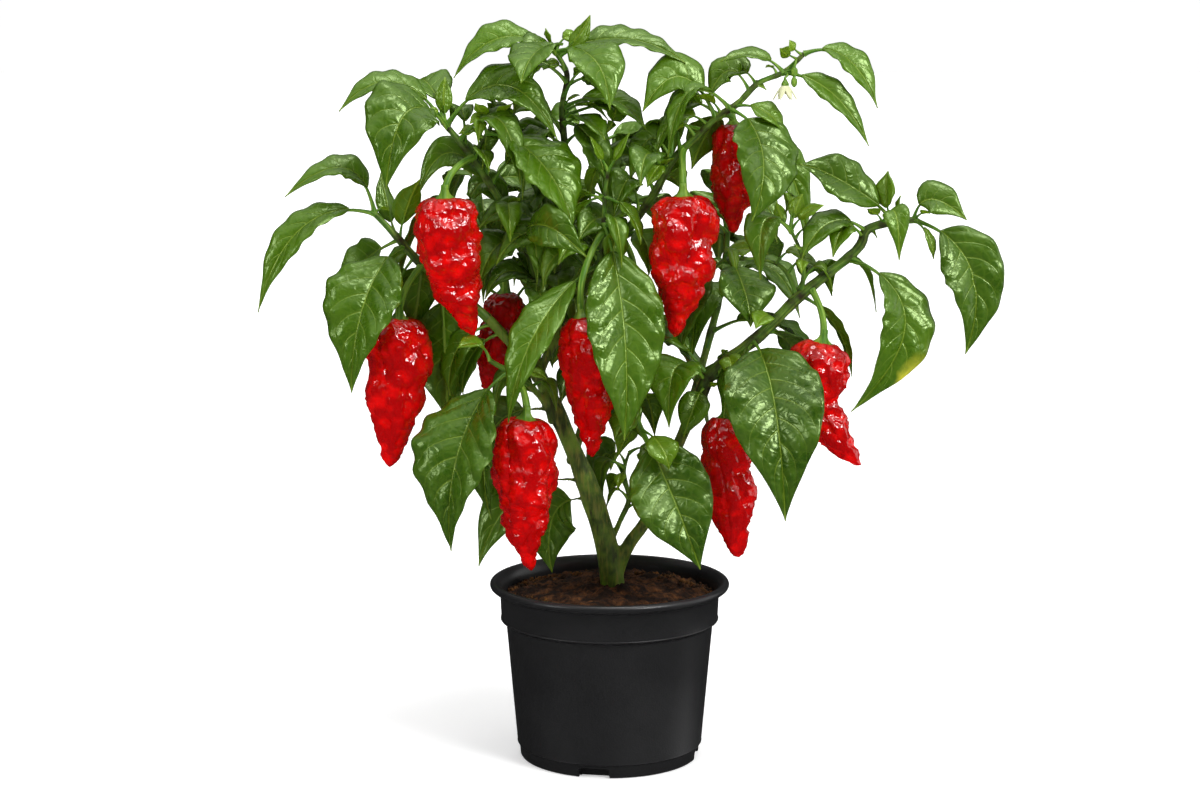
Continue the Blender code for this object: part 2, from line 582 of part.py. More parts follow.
def settle(leaf, obstacles):
    whole = leaf.mesh()
    obstacles.add(whole, leaf.node)
    whole.free()
    blade = leaf.mesh(from_blade=True)
    obstacles.add(blade, leaf.node, True)
    blade.free()


def placed_leaves(obstacles):
    """The leaves laid out by hand, each bent nearer or further until it is clear."""
    leaves = []
    for i, (stem, row, knee, tip, half, roll) in enumerate(LEAVES):
        # Leaves of one node sit a little apart along the stem.
        base = on_path(path_of(stem), row - 0.04 * (i % NODE_SPREAD)).to_3d()
        leaf = Leaf(stem, base, seen(*knee), seen(*tip), half, roll, i)
        tries = [leaf.pushed(depth) for depth in DEPTH_SHIFTS]
        chosen = next((t for t in tries if fits(t, obstacles)), None)
        if chosen:
            settle(chosen, obstacles)
            leaves.append(chosen)
    return leaves


def sprouted_leaves(obstacles, first_index):
    """The leaves that follow a rule: round the stem by the golden angle, drooping."""
    leaves = []
    for stem, first, last, count, longest, seed in SPROUTS:
        draw = random.Random(seed)
        path = path_of(stem)
        for i in range(count):
            row = first + (last - first) * i / (count - 1)
            base = on_path(path, row).to_3d()
            size = longest * (1.0 - 0.35 * i / count)
            for attempt in range(TRIES):
                angle = GOLDEN_ANGLE * i + draw.uniform(-0.6, 0.6) + attempt * 0.5
                length = size * draw.uniform(0.8, 1.0) * (1 - 0.03 * attempt)
                out = Vector((math.cos(angle), math.sin(angle), 0.0))
                rise, drop = draw.uniform(0.1, 0.3), draw.uniform(0.1, 0.55)
                knee = base + (out * 0.42 + UP * rise) * length
                tip = base + (out * 0.80 - UP * drop) * length
                half = length * draw.uniform(0.22, 0.26)
                leaf = Leaf(stem, base, knee, tip, half, draw.uniform(-25, 25),
                            first_index + len(leaves))
                if fits(leaf, obstacles):
                    settle(leaf, obstacles)
                    leaves.append(leaf)
                    break
    return leaves


# ---- fruits -----------------------------------------------------------------------------
class Fruit:
    """One fruit: its axis is a bent line from the calyx to the tip."""

    def __init__(self, name, row):
        stem, self.row, top, tip, width, self.bend, self.shape = row
        self.name, self.stem = name, stem
        self.top, self.tip, self.half = seen(*top), seen(*tip), width / 2
        self.number = int(name.rpartition("_")[2])
        self.length = (self.tip - self.top).length

    def axis(self, t):
        """Place and heading a share t down the fruit."""
        side = (self.tip - self.top).cross(Vector((0, 1, 0))).normalized() * self.bend
        middle = (self.top + self.tip) / 2 + side * 2
        place = (1 - t) ** 2 * self.top + 2 * t * (1 - t) * middle + t * t * self.tip
        heading = (1 - t) * (middle - self.top) + t * (self.tip - middle)
        return place, heading.normalized()

    def swell(self, share, angle):
        """How far the skin bulges: four long lobes with coarse wrinkles across them."""
        n = self.number
        lobes = 0.5 * math.cos(4 * angle + n + 2.0 * share)
        wrinkles = math.sin(21.0 * share + 2.0 * math.sin(2 * angle + n)) \
            + 0.7 * math.sin(13.0 * share + 3 * angle + 2 * n)
        fade = min(1.0, 6.0 * share)
        return 1.0 + FRUIT_BUMPS * (lobes + fade * wrinkles)

    def mesh(self, spare=0.0):
        """A sphere drawn out along the axis, ring by ring, in millimetres."""
        profile = FRUIT_SHAPES[self.shape]
        bm = bmesh.new()
        rings = len(profile) - 1
        bmesh.ops.create_uvsphere(bm, u_segments=FRUIT_SIDES, v_segments=rings, radius=1.0)
        for v in bm.verts:
            ring = round(math.acos(max(-1.0, min(1.0, v.co.z))) / math.pi * rings)
            angle = math.atan2(v.co.y, v.co.x)
            share, width = profile[ring]
            place, heading = self.axis(max(0.0, share))
            if share < 0:
                place = place + heading * share * self.length
            sideways = heading.cross(Vector((0, 1, 0))).normalized()
            ahead = sideways.cross(heading)
            radius = self.half * width * self.swell(share, angle)
            radius += spare if width else 0.0
            v.co = place + (sideways * math.cos(angle) + ahead * math.sin(angle)) * radius
        bmesh.ops.recalc_face_normals(bm, faces=bm.faces)
        return bm


def calyx(fruit, collection):
    """The green cap: a low star-shaped cone whose flat underside sits on the fruit."""
    _, heading = fruit.axis(0.0)
    bm = bmesh.new()
    bmesh.ops.create_cone(bm, cap_ends=True, segments=2 * CALYX_LOBES, radius1=1.0,
                          radius2=0.42, depth=1.0)
    for v in bm.verts:
        angle = math.atan2(v.co.y, v.co.x)
        low = v.co.z < 0
        reach = 0.86 + 0.14 * math.cos(CALYX_LOBES * angle) if low else 1.0
        scale = min(CALYX_RADIUS, fruit.half * 0.40) * reach
        v.co = Vector((v.co.x * scale, v.co.y * scale, GAP + (0.0 if low else CALYX_HEIGHT)))
    turn = UP.rotation_difference(-heading).to_matrix()
    for v in bm.verts:
        v.co = (turn @ v.co + fruit.top) * MM
    return add_object(fruit.name + "_calyx", mesh_from_bmesh("calyx", bm), collection)


def peduncle_rows(fruit):
    """The fruit's stalk: out of the stem, over, and down into the calyx."""
    base = on_path(path_of(fruit.stem), fruit.row).to_3d()
    _, heading = fruit.axis(0.0)
    end = fruit.top - heading * (GAP + 0.6 * CALYX_HEIGHT)
    span = (end - base).length
    shoulder = end - heading * span * 0.45
    rows = []
    steps = 6
    for i in range(steps + 1):
        t = i / steps
        place = (1 - t) ** 2 * base + 2 * t * (1 - t) * shoulder + t * t * end
        rows.append(Vector((*place, PEDUNCLE_RADIUS * (0.85 + 0.2 * t))))
    return rows


# ---- flower and buds --------------------------------------------------------------------
def flower_stalk(collection):
    """The flower's stalk with its small green cup."""
    path = path_of("upper_right")
    base = on_path(path, 10.0).to_3d()
    top = seen(*FLOWER_TOP)
    rows = [Vector((*base, 1.1)), Vector((*((base + top) / 2 + Vector((1.5, -2.0, 2.0))), 0.9)),
            Vector((*(top + UP * 4), 0.9)), Vector((*(top + UP * 2.5), 1.4)),
            Vector((*(top + UP * GAP), 2.2))]
    tube("flower_stalk", rows, collection)
    for i, (row, middle, end) in enumerate(BUDS):
        start = on_path(path, row).to_3d()
        neck, foot = seen(*middle), seen(*end)
        rows = [Vector((*start, 0.9)), Vector((*neck, 0.8)), Vector((*foot, 0.9)),
                Vector((*(foot - UP * 1.5), 1.8)), Vector((*(foot - UP * 4.0), 1.9)),
                Vector((*(foot - UP * 6.0), 0.7))]
        tube(f"bud_{i}", rows, collection)


def make_flower(parts):
    """The hanging white flower: a thin star that flares down from its cup."""
    bm = bmesh.new()
    points = 2 * FLOWER_PETALS
    rings = [(0.0, 1.6, 1.6), (0.35, 3.6, 3.4), (1.0, FLOWER_SPREAD, 3.6)]
    verts = []
    for share, at_petal, between in rings:
        ring = []
        for i in range(points):
            angle = 2 * math.pi * i / points
            radius = at_petal if i % 2 == 0 else between
            drop = FLOWER_DROP * (share if i % 2 == 0 or share < 1.0 else 0.55)
            ring.append(bm.verts.new(Vector((radius * math.cos(angle), radius * math.sin(angle),
                                             -drop)) * MM))
        verts.append(ring)
    bm.faces.new(verts[0])
    for a, b in zip(verts, verts[1:]):
        for i in range(points):
            j = (i + 1) % points
            bm.faces.new((a[i], b[i], b[j], a[j]))
    flower = add_object("flower", mesh_from_bmesh("flower", bm), parts,
                        material("flower_petals", (0.86, 0.84, 0.74), 0.6))
    top = seen(*FLOWER_TOP)
    flower.location = top * MM
    shell = flower.modifiers.new("petal_thickness", "SOLIDIFY")
    shell.thickness = 0.7 * MM
    shell.offset = -1.0
    return flower


# ---- joining ----------------------------------------------------------------------------
def fuse(name, collection, parts, mat):
    """Joins every solid in the collection into one node."""
    pieces = list(collection.objects)
    body = pieces[0]
    collection.objects.unlink(body)
    parts.objects.link(body)
    union = body.modifiers.new("union", "BOOLEAN")
    union.operation = "UNION"
    union.operand_type = "COLLECTION"
    union.collection = collection
    union.solver = "EXACT"
    mesh = applied(body)
    mesh.name = name
    for piece in pieces:
        bpy.data.objects.remove(piece, do_unlink=True)
    bpy.data.collections.remove(collection)
    return add_object(name, mesh, parts, mat)


def scaled_object(name, bm, collection, mat=None):
    """An object from a shape drawn in millimetres."""
    bmesh.ops.scale(bm, verts=bm.verts, vec=(MM, MM, MM))
    return add_object(name, mesh_from_bmesh(name, bm), collection, mat)


def add_obstacle(obstacles, obj, node):
    bm = bmesh.new()
    bm.from_mesh(applied(obj))
    bmesh.ops.scale(bm, verts=bm.verts, vec=(1 / MM,) * 3)
    obstacles.add(bm, node)
    bm.free()


def main():
    clear_scene()
    parts = new_collection("potted_chilli_pepper_plant")
    cutters = new_collection("cutters")
    groups = {}

    def collection_of(node):
        if node not in groups:
            groups[node] = new_collection(node + "_pieces")
        return groups[node]

    stem_pieces(collection_of)
    obstacles = Obstacles()
    for solid in (make_pot(parts, cutters), make_soil(parts, cutters)):
        add_obstacle(obstacles, solid, solid.name)

    red = material("ripe_fruit_skin", (0.55, 0.004, 0.004), 0.22)
    for fruit in [Fruit(name, row) for name, row in FRUITS.items()]:
        node = collection_of(STEMS[fruit.stem]["node"])
        calyx(fruit, node)
        tube(fruit.name + "_peduncle", peduncle_rows(fruit), node)
        body = scaled_object(fruit.name, fruit.mesh(), parts, red)
        add_obstacle(obstacles, body, fruit.name)
    flower_stalk(collection_of("upper_right_stem"))
    make_flower(parts)
    for node, group in groups.items():
        for obj in group.objects:
            add_obstacle(obstacles, obj, node)

    leaves = placed_leaves(obstacles)
    leaves += sprouted_leaves(obstacles, len(LEAVES))
    for i, leaf in enumerate(leaves):
        scaled_object(f"leaf_{i}", leaf.mesh(), collection_of(leaf.node))

    green = material("stem_and_leaf", (0.045, 0.16, 0.02), 0.45)
    wood = material("green_wood", (0.07, 0.11, 0.03), 0.6)
    for node, group in groups.items():
        fuse(node, group, parts, wood if node == "trunk" else green)
    for obj in parts.objects:
        obj.data.shade_smooth()
        obj.data.set_sharp_from_angle(angle=math.radians(SHARP_DEGREES))


main()
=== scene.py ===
"""How the potted chilli pepper plant looks: its leaves, fruit, stems, soil and pot.

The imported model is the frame, in metres: +Z is up, the front is -Y, and the origin is the
centre of the pot's underside. The tables here repeat the model's own layout, in millimetres,
and each piece's mesh is made in metres.

The plant is laid out from the front. A place on it is written (x, z, y): x and z are where it
shows against the trunk's own upright plane, y = 0, for somebody whose eye is at EYE, and y is
how deep it lies, negative in front of the trunk.
"""
import copy
import math
import random

import bmesh
import bpy
import numpy as np
from mathutils import Matrix, Vector, noise
from mathutils.bvhtree import BVHTree

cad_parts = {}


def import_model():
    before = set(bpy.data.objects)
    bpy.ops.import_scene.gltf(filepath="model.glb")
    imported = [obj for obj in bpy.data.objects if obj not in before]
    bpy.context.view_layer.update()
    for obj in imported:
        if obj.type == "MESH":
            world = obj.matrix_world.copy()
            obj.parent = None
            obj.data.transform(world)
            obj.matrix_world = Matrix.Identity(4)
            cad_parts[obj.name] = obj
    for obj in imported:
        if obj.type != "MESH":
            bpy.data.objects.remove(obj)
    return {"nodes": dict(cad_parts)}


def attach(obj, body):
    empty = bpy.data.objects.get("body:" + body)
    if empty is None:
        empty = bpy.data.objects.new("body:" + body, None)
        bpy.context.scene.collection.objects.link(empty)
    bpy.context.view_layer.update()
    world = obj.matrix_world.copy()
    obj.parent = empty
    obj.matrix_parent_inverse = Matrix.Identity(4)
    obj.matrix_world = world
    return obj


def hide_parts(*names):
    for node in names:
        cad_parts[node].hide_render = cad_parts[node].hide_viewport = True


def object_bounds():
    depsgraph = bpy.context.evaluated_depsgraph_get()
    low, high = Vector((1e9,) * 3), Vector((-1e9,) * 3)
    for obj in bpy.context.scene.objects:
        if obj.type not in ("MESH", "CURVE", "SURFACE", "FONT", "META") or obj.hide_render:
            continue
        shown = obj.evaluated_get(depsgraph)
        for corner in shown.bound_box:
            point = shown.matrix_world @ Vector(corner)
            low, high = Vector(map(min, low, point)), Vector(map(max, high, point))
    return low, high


MM = 0.001
UP = Vector((0.0, 0.0, 1.0))
EYE = Vector((-6.0, -1409.0, 436.0))
EYE_TILT = 81.5
LENS = 68.9
STUDIO_RADIUS, STUDIO_HEIGHT = 60.0, 14.0

# ---- the model's layout -----------------------------------------------------------------
NOTCHES = 4
NOTCH_TURN = math.radians(-100)
NOTCH_WIDTH, NOTCH_HEIGHT, NOTCH_REACH = 19.0, 6.2, 12.0
SOIL_TOP = [(15.0, 107.6), (32.0, 106.4), (50.0, 104.6), (66.5, 102.4)]
SOIL_SIDE = [(65.4, 90.4), (62.4, 85.4), (55.6, 8.4)]
SOIL_LUMPS = 1.1

# Each row is (x, z, y, radius). The rows up to "joint" are wood of the trunk.
STEMS = {
    "trunk": dict(node="trunk", rows=[
        (2, 72, 0, 7.6), (2, 107, 0, 8.2), (-4, 138, 0, 7.6), (-18, 174, -1, 6.4),
        (-30, 202, -2, 5.6), (-42, 232, 0, 5.0), (-48, 250, 4, 4.4)]),
    "right": dict(node="right_stem", joint=4, rows=[
        (3, 114, 0, 5.6), (9, 134, 1, 5.2), (21, 152, 2, 4.7), (41, 196, 0, 4.5),
        (57, 230, -4, 4.3), (64, 243, -5, 4.2), (93, 266, -6, 3.9), (117, 290, -4, 3.6),
        (151, 318, 0, 3.2), (158, 331, 1, 3.0), (174, 336, 2, 2.6), (187, 337, 2, 2.1)]),
    "right_twig": dict(node="right_stem", rows=[
        (116, 289, -4, 2.0), (107, 307, 5, 1.6), (92, 313, 10, 1.4), (70, 312, 12, 1.2)]),
    "right_shoot": dict(node="right_stem", rows=[
        (118, 291, -4, 1.8), (119, 312, -7, 1.5), (111, 331, -9, 1.2)]),
    "left": dict(node="left_stem", joint=2, rows=[
        (-44, 238, 1, 4.0), (-59, 258, 8, 3.7), (-76, 277, 11, 3.5), (-98, 296, 10, 3.2),
        (-117, 311, 8, 2.9), (-131, 327, 4, 2.5), (-144, 341, 2, 2.0)]),
    "upper_left": dict(node="upper_left_stem", joint=2, rows=[
        (-47, 246, 3, 4.2), (-50, 270, 12, 3.8), (-46, 294, 16, 3.5), (-50, 318, 12, 3.2),
        (-63, 342, 5, 2.9), (-84, 375, 0, 2.5), (-101, 396, -2, 1.9)]),
    "upper_left_twig": dict(node="upper_left_stem", rows=[
        (-84, 375, 0, 1.6), (-76, 388, -3, 1.4), (-71, 396, -5, 1.1)]),
    "top": dict(node="top_stem", joint=2, rows=[
        (-49, 262, 9, 3.4), (-36, 290, 24, 3.1), (-31, 318, 29, 2.9), (-26, 350, 27, 2.6),
        (-27, 376, 20, 2.4), (-29, 405, 13, 2.1), (-26, 425, 9, 1.8), (-33, 439, 5, 1.5)]),
    "upper_right": dict(node="upper_right_stem", joint=2, rows=[
        (-45, 240, 2, 3.8), (-30, 270, 9, 3.4), (-10, 302, 11, 3.1), (9, 328, 8, 2.9),
        (27, 353, 3, 2.7), (38, 373, 0, 2.5), (54, 389, -2, 2.4), (66, 400, -3, 2.3),
        (78, 408, -4, 2.1), (90, 420, -5, 1.9), (106, 427, -5, 1.7), (118, 438, -6, 1.4)]),
    "middle": dict(node="middle_stem", joint=1, rows=[
        (-20, 286, 10, 2.4), (-9, 306, -6, 2.2), (-4, 328, -12, 2.0), (-3, 352, -14, 1.7),
        (-1, 368, -14, 1.3)]),
    "low_left": dict(node="low_left_stem", joint=1, rows=[
        (-38, 222, 0, 2.6), (-51, 236, -14, 2.4), (-62, 243, -24, 2.1), (-74, 250, -30, 1.6)]),
    "low_right": dict(node="low_right_stem", joint=1, rows=[
        (34, 182, 1, 2.6), (24, 198, -14, 2.3), (17, 216, -22, 2.0), (20, 236, -26, 1.6)]),
    "low_shoot": dict(node="low_shoot", joint=1, rows=[
        (0, 134, 0, 2.6), (7, 150, 8, 2.2), (12, 163, 12, 1.9), (9, 180, 15, 1.5),
        (12, 192, 16, 1.1)]),
    "back_left": dict(node="back_left_stem", joint=2, rows=[
        (-35, 212, 0, 3.6), (-43, 236, 26, 3.3), (-51, 260, 48, 3.1), (-64, 292, 66, 2.8),
        (-74, 325, 78, 2.4), (-80, 354, 88, 1.8)]),
    "back": dict(node="back_stem", joint=2, rows=[
        (-24, 186, 0, 4.0), (-16, 212, 24, 3.6), (-10, 236, 44, 3.3), (-5, 272, 68, 2.9),
        (0, 312, 86, 2.5), (-2, 350, 100, 2.1), (-8, 382, 108, 1.6)]),
    "back_right": dict(node="back_right_stem", joint=2, rows=[
        (46, 206, 0, 3.6), (53, 232, 24, 3.3), (60, 258, 46, 3.1), (68, 292, 66, 2.7),
        (72, 326, 80, 2.3), (68, 356, 90, 1.7)]),
}

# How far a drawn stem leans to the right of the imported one, row by row, and how thick it is.
LEANS = {"trunk": (0.0, 0.0, 1.0, 3.5, 4.0, 3.0), "right": (0.0, 3.0, 3.0, 1.0)}
TRUNK_GIRTH = 0.92
STEM_GIRTH = 0.8

# Each row is (stem, row of the stem, knee, tip, half width, roll in degrees).
LEAVES = [
    ("upper_left", 6, (-135, 423, -6), (-165, 403, -12), 12, -34),
    ("upper_left", 6, (-112, 424, 16), (-121, 416, 42), 16, 0),
    ("upper_left", 5.9, (-122, 394, -28), (-141, 356, -40), 24, 8),
    ("upper_left", 6, (-66, 421, -10), (-32, 386, -16), 15, 42),
    ("upper_left", 6, (-101, 410, 2), (-100, 424, 4), 5.5, -60),
    ("upper_left_twig", 1.2, (-46, 380, -18), (-23, 330, -30), 22, 20),
    ("upper_left_twig", 2, (-66, 404, -8), (-59, 408, -12), 6, 0),
    ("upper_left_twig", 2, (-76, 402, -8), (-82, 408, -14), 5, -20),
    ("upper_left", 3.5, (-40, 334, -20), (-14, 314, -30), 13, 25),
    ("upper_left", 3.2, (-68, 324, -10), (-80, 298, -16), 13, -25),
    ("left", 6, (-158, 369, 0), (-199, 351, -6), 12, -35),
    ("left", 6, (-178, 345, -10), (-217, 280, -18), 13, -26),
    ("left", 4.7, (-152, 300, -24), (-162, 232, -34), 25, -6),
    ("left", 5, (-150, 326, 12), (-172, 306, 22), 15, -10),
    ("left", 5, (-124, 348, 0), (-116, 362, -6), 9, -30),
    ("left", 5, (-138, 350, 10), (-140, 366, 14), 7, -50),
    ("left", 3.3, (-103, 272, -4), (-100, 212, -8), 20, 0),
    ("top", 7, (-62, 450, 0), (-95, 423, -4), 13, -32),
    ("top", 7, (-45, 442, -24), (-54, 420, -46), 17, 0),
    ("top", 7, (-19, 447, 2), (-12, 461, 0), 7, 60),
    ("top", 7, (-37, 446, 2), (-39, 453, 0), 4, 0),
    ("top", 7, (-10, 438, -20), (0, 404, -36), 17, 20),
    ("top", 6.8, (3, 449, 4), (46, 432, 0), 13, 34),
    ("top", 4.3, (-50, 391, 8), (-62, 376, 0), 11, -20),
    ("top", 4.4, (-15, 392, 6), (0, 360, 0), 8, 40),
    ("top", 5, (2, 412, 8), (22, 392, 2), 13, 30),
    ("top", 2.7, (-12, 326, 8), (8, 302, 0), 13, 20),
    ("top", 3.4, (-44, 354, 14), (-58, 328, 10), 12, -20),
    ("upper_right", 7, (40, 427, -6), (20, 408, -14), 14, -34),
    ("upper_right", 8, (95, 404, -12), (107, 389, -16), 9, 20),
    ("upper_right", 7.6, (93, 388, -26), (87, 336, -40), 22, 0),
    ("upper_right", 10, (90, 438, -4), (67, 433, -8), 9, -40),
    ("upper_right", 9, (76, 430, 6), (60, 424, 10), 10, -40),
    ("upper_right", 11, (111, 441, -4), (109, 446, -6), 4.5, 0),
    ("upper_right", 5, (30, 370, -8), (23, 357, -12), 7, 0),
    ("upper_right", 5, (41, 402, 12), (52, 420, 24), 13, -20),
    ("upper_right", 11, (141, 440, -10), (163, 405, -16), 12, 34),
    ("upper_right", 10, (130, 421, -14), (158, 380, -20), 9, 26),
    ("upper_right", 3.6, (12, 364, -8), (2, 338, -18), 12, -20),
    ("upper_right", 4.2, (8, 378, 4), (-4, 354, -2), 12, -20),
    ("right", 10, (144, 362, -4), (113, 371, -10), 14, -40),
    ("right", 10, (168, 350, 6), (170, 363, 10), 9, -40),
    ("right", 10.4, (176, 346, -2), (178, 352, -4), 4, 0),
    ("right", 11, (204, 352, -4), (219, 337, -8), 11, 45),
    ("right", 8, (182, 286, -16), (155, 218, -26), 20, 50),
    ("right", 11, (219, 316, -12), (223, 256, -20), 20, 56),
    ("right", 11, (194, 331, -4), (199, 313, -8), 5, 0),
    ("right", 9, (138, 338, -10), (118, 313, -20), 12, -25),
    ("right", 7, (128, 312, 14), (137, 290, 24), 13, 0),
    ("right", 6, (98, 244, -50), (112, 151, -76), 29, 0),
    ("right", 6, (110, 266, 12), (118, 238, 24), 15, 0),
    ("right", 6, (80, 250, -16), (71, 214, -26), 12, 0),
    ("right", 7.1, (142, 270, 12), (150, 240, 14), 6, 0),
    ("right_shoot", 2, (98, 340, -20), (93, 300, -28), 12, -20),
    ("right_shoot", 2, (104, 341, -4), (102, 348, -8), 4.5, 0),
    ("right_shoot", 2, (114, 343, -6), (118, 353, -8), 5.5, -30),
    ("right_shoot", 2, (122, 343, -8), (131, 346, -10), 5.5, 30),
    ("right_twig", 3, (82, 302, -6), (87, 271, -16), 20, 0),
    ("middle", 2.4, (7, 280, -46), (9, 200, -60), 26, 4),
    ("middle", 1.3, (-39, 284, -24), (-65, 211, -38), 16, -18),
    ("middle", 3, (-15, 348, -16), (-26, 324, -24), 9, -20),
    ("middle", 3, (9, 346, -18), (19, 322, -26), 9, 20),
    ("middle", 4, (-6, 378, -16), (-12, 388, -18), 5.5, -30),
    ("middle", 4, (5, 379, -16), (12, 390, -18), 5.5, 30),
    ("low_left", 2.2, (-91, 212, -50), (-94, 132, -62), 30, -4),
    ("low_left", 3, (-82, 262, -34), (-94, 258, -40), 10, -20),
    ("trunk", 4.6, (-68, 214, 10), (-74, 150, 4), 19, -20),
    ("trunk", 3.1, (-52, 170, 12), (-81, 120, 8), 16, -55),
    ("trunk", 2.8, (-32, 160, 4), (-38, 116, 2), 15, -55),
    ("low_right", 1.6, (31, 184, -42), (57, 118, -58), 25, 6),
    ("low_right", 1.5, (30, 200, -24), (37, 182, -30), 10, 0),
    ("low_right", 3, (14, 226, -34), (3, 200, -40), 14, 0),
    ("right", 4.6, (42, 250, -22), (37, 208, -32), 20, -10),
    ("right", 4.3, (54, 226, -20), (46, 202, -26), 10, 0),
    ("low_shoot", 3, (-3, 192, 18), (-9, 168, 20), 12, -40),
    ("low_shoot", 4, (20, 196, 14), (24, 178, 10), 9, 40),
    ("low_shoot", 2, (4, 170, 10), (-2, 158, 8), 5, 0),
    ("low_shoot", 2, (18, 162, 6), (24, 151, 2), 5, 0),
]

# Leaves at the back follow a rule: (stem, first row, last row, leaves, longest, lift, seed).
SPROUTS = [
    ("back_left", 2.3, 5, 7, 96, 0.0, 3),
    ("back", 2.3, 6, 9, 98, 0.0, 5),
    ("back_right", 2.3, 5, 7, 96, 0.0, 8),
    ("top", 2.6, 5.6, 4, 68, 0.0, 14),
    ("upper_right", 2.8, 4.6, 2, 70, 0.0, 17),
]
# How they grow. Their turn from one to the next, in radians, swings at random, and steps on
# with each try. Length, rise, drop and half width are ranges of random shares.
SPROUT_HABIT = dict(swing=0.6, step=0.5, depth=1.0, taper=0.35, length=(0.8, 1.0), shrink=0.03,
                    rise=(0.1, 0.3), drop=(0.1, 0.55), half=(0.22, 0.26), roll=25, shown=False)
LEAF_THICK = 0.7
PETIOLE_HALF = 1.1
LEAF_FOLD, LEAF_WAVE = 0.28, 0.12
GOLDEN_ANGLE = math.radians(137.5)
DEPTH_SHIFTS = (0, -6, 6, -12, 12, -18, 18, -26, 26, -34, 34)
TRIES = 14
NODE_SPREAD = 5

# Each row is (stem, row of the stem, top, tip, width, sideways bend, shape).
FRUITS = {
    "pepper_1": ("upper_left", 5, (-101, 349, -22), (-84, 266, -22), 38, -4, "tailed"),
    "pepper_2": ("left", 3.9, (-130, 275, -6), (-137, 184, -8), 41, 1, "full"),
    "pepper_3": ("low_left", 1.7, (-52, 212, -42), (-49, 118, -44), 38, -3, "stepped"),
    "pepper_4": ("middle", 2.1, (-17, 276, -34), (-11, 190, -36), 32, 2, "full"),
    "pepper_5": ("upper_right", 5.4, (45, 350, -20), (40, 265, -22), 38, 2, "stepped"),
    "pepper_6": ("upper_right", 7.1, (75, 394, 8), (76, 330, 8), 26, 0, "slim"),
    "pepper_7": ("right", 7.2, (131, 260, -16), (156, 185, -20), 35, -11, "waisted"),
    "pepper_8": ("right", 5.2, (72, 213, -18), (81, 126, -22), 32, -2, "slim"),
    "pepper_9": ("back_left", 2.9, (-65, 291, 29), (-77, 232, 27), 27, 3, "slim"),
    "pepper_10": ("back_left", 4.2, (-101, 338, 100), (-92, 270, 102), 31, 3, "full"),
    "pepper_11": ("back", 4.6, (14, 296, 112), (10, 214, 114), 35, -3, "full"),
    "pepper_12": ("back_right", 4.4, (46, 338, 88), (42, 270, 88), 31, -3, "waisted"),
}
# How far down the fruit, and how wide: both as shares of its length and half width.
FRUIT_SHAPES = {
    "full": [(0.0, 0.0), (0.004, 0.2), (-0.012, 0.44), (0.012, 0.68), (0.06, 0.86), (0.14, 0.96),
             (0.26, 1.0), (0.40, 0.97), (0.54, 0.84), (0.67, 0.65), (0.79, 0.45), (0.89, 0.29),
             (0.96, 0.18), (1.0, 0.0)],
    "stepped": [(0.0, 0.0), (0.004, 0.22), (-0.012, 0.5), (0.012, 0.78), (0.06, 0.94), (0.14, 1.0),
                (0.26, 0.99), (0.36, 1.0), (0.46, 0.93), (0.54, 0.88), (0.61, 0.72), (0.68, 0.64),
                (0.77, 0.47), (0.87, 0.29), (0.95, 0.19), (1.0, 0.0)],
    "tailed": [(0.0, 0.0), (0.004, 0.22), (-0.012, 0.5), (0.012, 0.8), (0.06, 0.95), (0.14, 0.99),
               (0.26, 1.0), (0.38, 0.99), (0.47, 0.93), (0.54, 0.82), (0.60, 0.71), (0.67, 0.71),
               (0.76, 0.53), (0.86, 0.34), (0.95, 0.19), (1.0, 0.0)],
    "slim": [(0.0, 0.0), (0.003, 0.2), (-0.01, 0.44), (0.01, 0.66), (0.06, 0.82), (0.15, 0.92),
             (0.28, 0.88), (0.40, 0.94), (0.54, 1.0), (0.67, 0.84), (0.79, 0.56), (0.89, 0.34),
             (0.97, 0.2), (1.0, 0.0)],
    "waisted": [(0.0, 0.0), (0.004, 0.2), (-0.012, 0.46), (0.012, 0.74), (0.06, 0.94),
                (0.14, 1.0), (0.24, 0.98), (0.34, 0.80), (0.44, 0.52), (0.56, 0.50),
                (0.68, 0.54), (0.82, 0.36), (0.95, 0.2), (1.0, 0.0)],
}
FRUIT_BUMPS = 0.07
CALYX_RADIUS = 7.2
PEDUNCLE_RADIUS = 2.1

FLOWER_TOP = (106.5, 419, -12)
BUDS = [(10.2, (113, 434, -9), (112, 430, -10)), (10.0, (113, 428, -10), (112, 424, -11))]

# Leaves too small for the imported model, in rows like those of the sprouts.
FILLERS = [
    ("upper_left", 0.8, 5.4, 11, 60, 0.0, 21),
    ("top", 0.8, 6.2, 13, 56, 0.0, 22),
    ("upper_right", 0.8, 7.6, 13, 58, 0.0, 23),
    ("middle", 0.5, 3.6, 5, 48, 0.0, 24),
    ("left", 1.2, 5.2, 8, 50, 0.0, 25),
    ("right", 4.2, 9.6, 6, 44, 0.0, 26),
    ("back_left", 1.4, 5.0, 9, 72, 0.0, 27),
    ("back", 1.4, 6.0, 10, 72, 0.0, 28),
    ("back_right", 1.4, 5.0, 9, 72, 0.0, 29),
    ("low_shoot", 1.5, 4.0, 5, 30, 0.2, 30),
    ("low_right", 0.8, 2.7, 4, 38, 0.0, 31),
    ("low_left", 0.8, 2.7, 4, 38, 0.0, 32),
    ("right_twig", 0.8, 3.0, 5, 32, 0.1, 33),
    ("upper_left_twig", 0.6, 2.0, 6, 26, 0.2, 34),
    ("right_shoot", 0.5, 2.0, 5, 26, 0.2, 35),
    ("upper_left", 2.0, 6.0, 5, 24, 0.6, 41),
    ("top", 2.0, 7.0, 6, 24, 0.6, 42),
    ("upper_right", 2.0, 11.0, 8, 22, 0.6, 43),
    ("left", 2.0, 6.0, 4, 20, 0.6, 44),
    ("right", 4.0, 11.0, 6, 20, 0.6, 45),
]
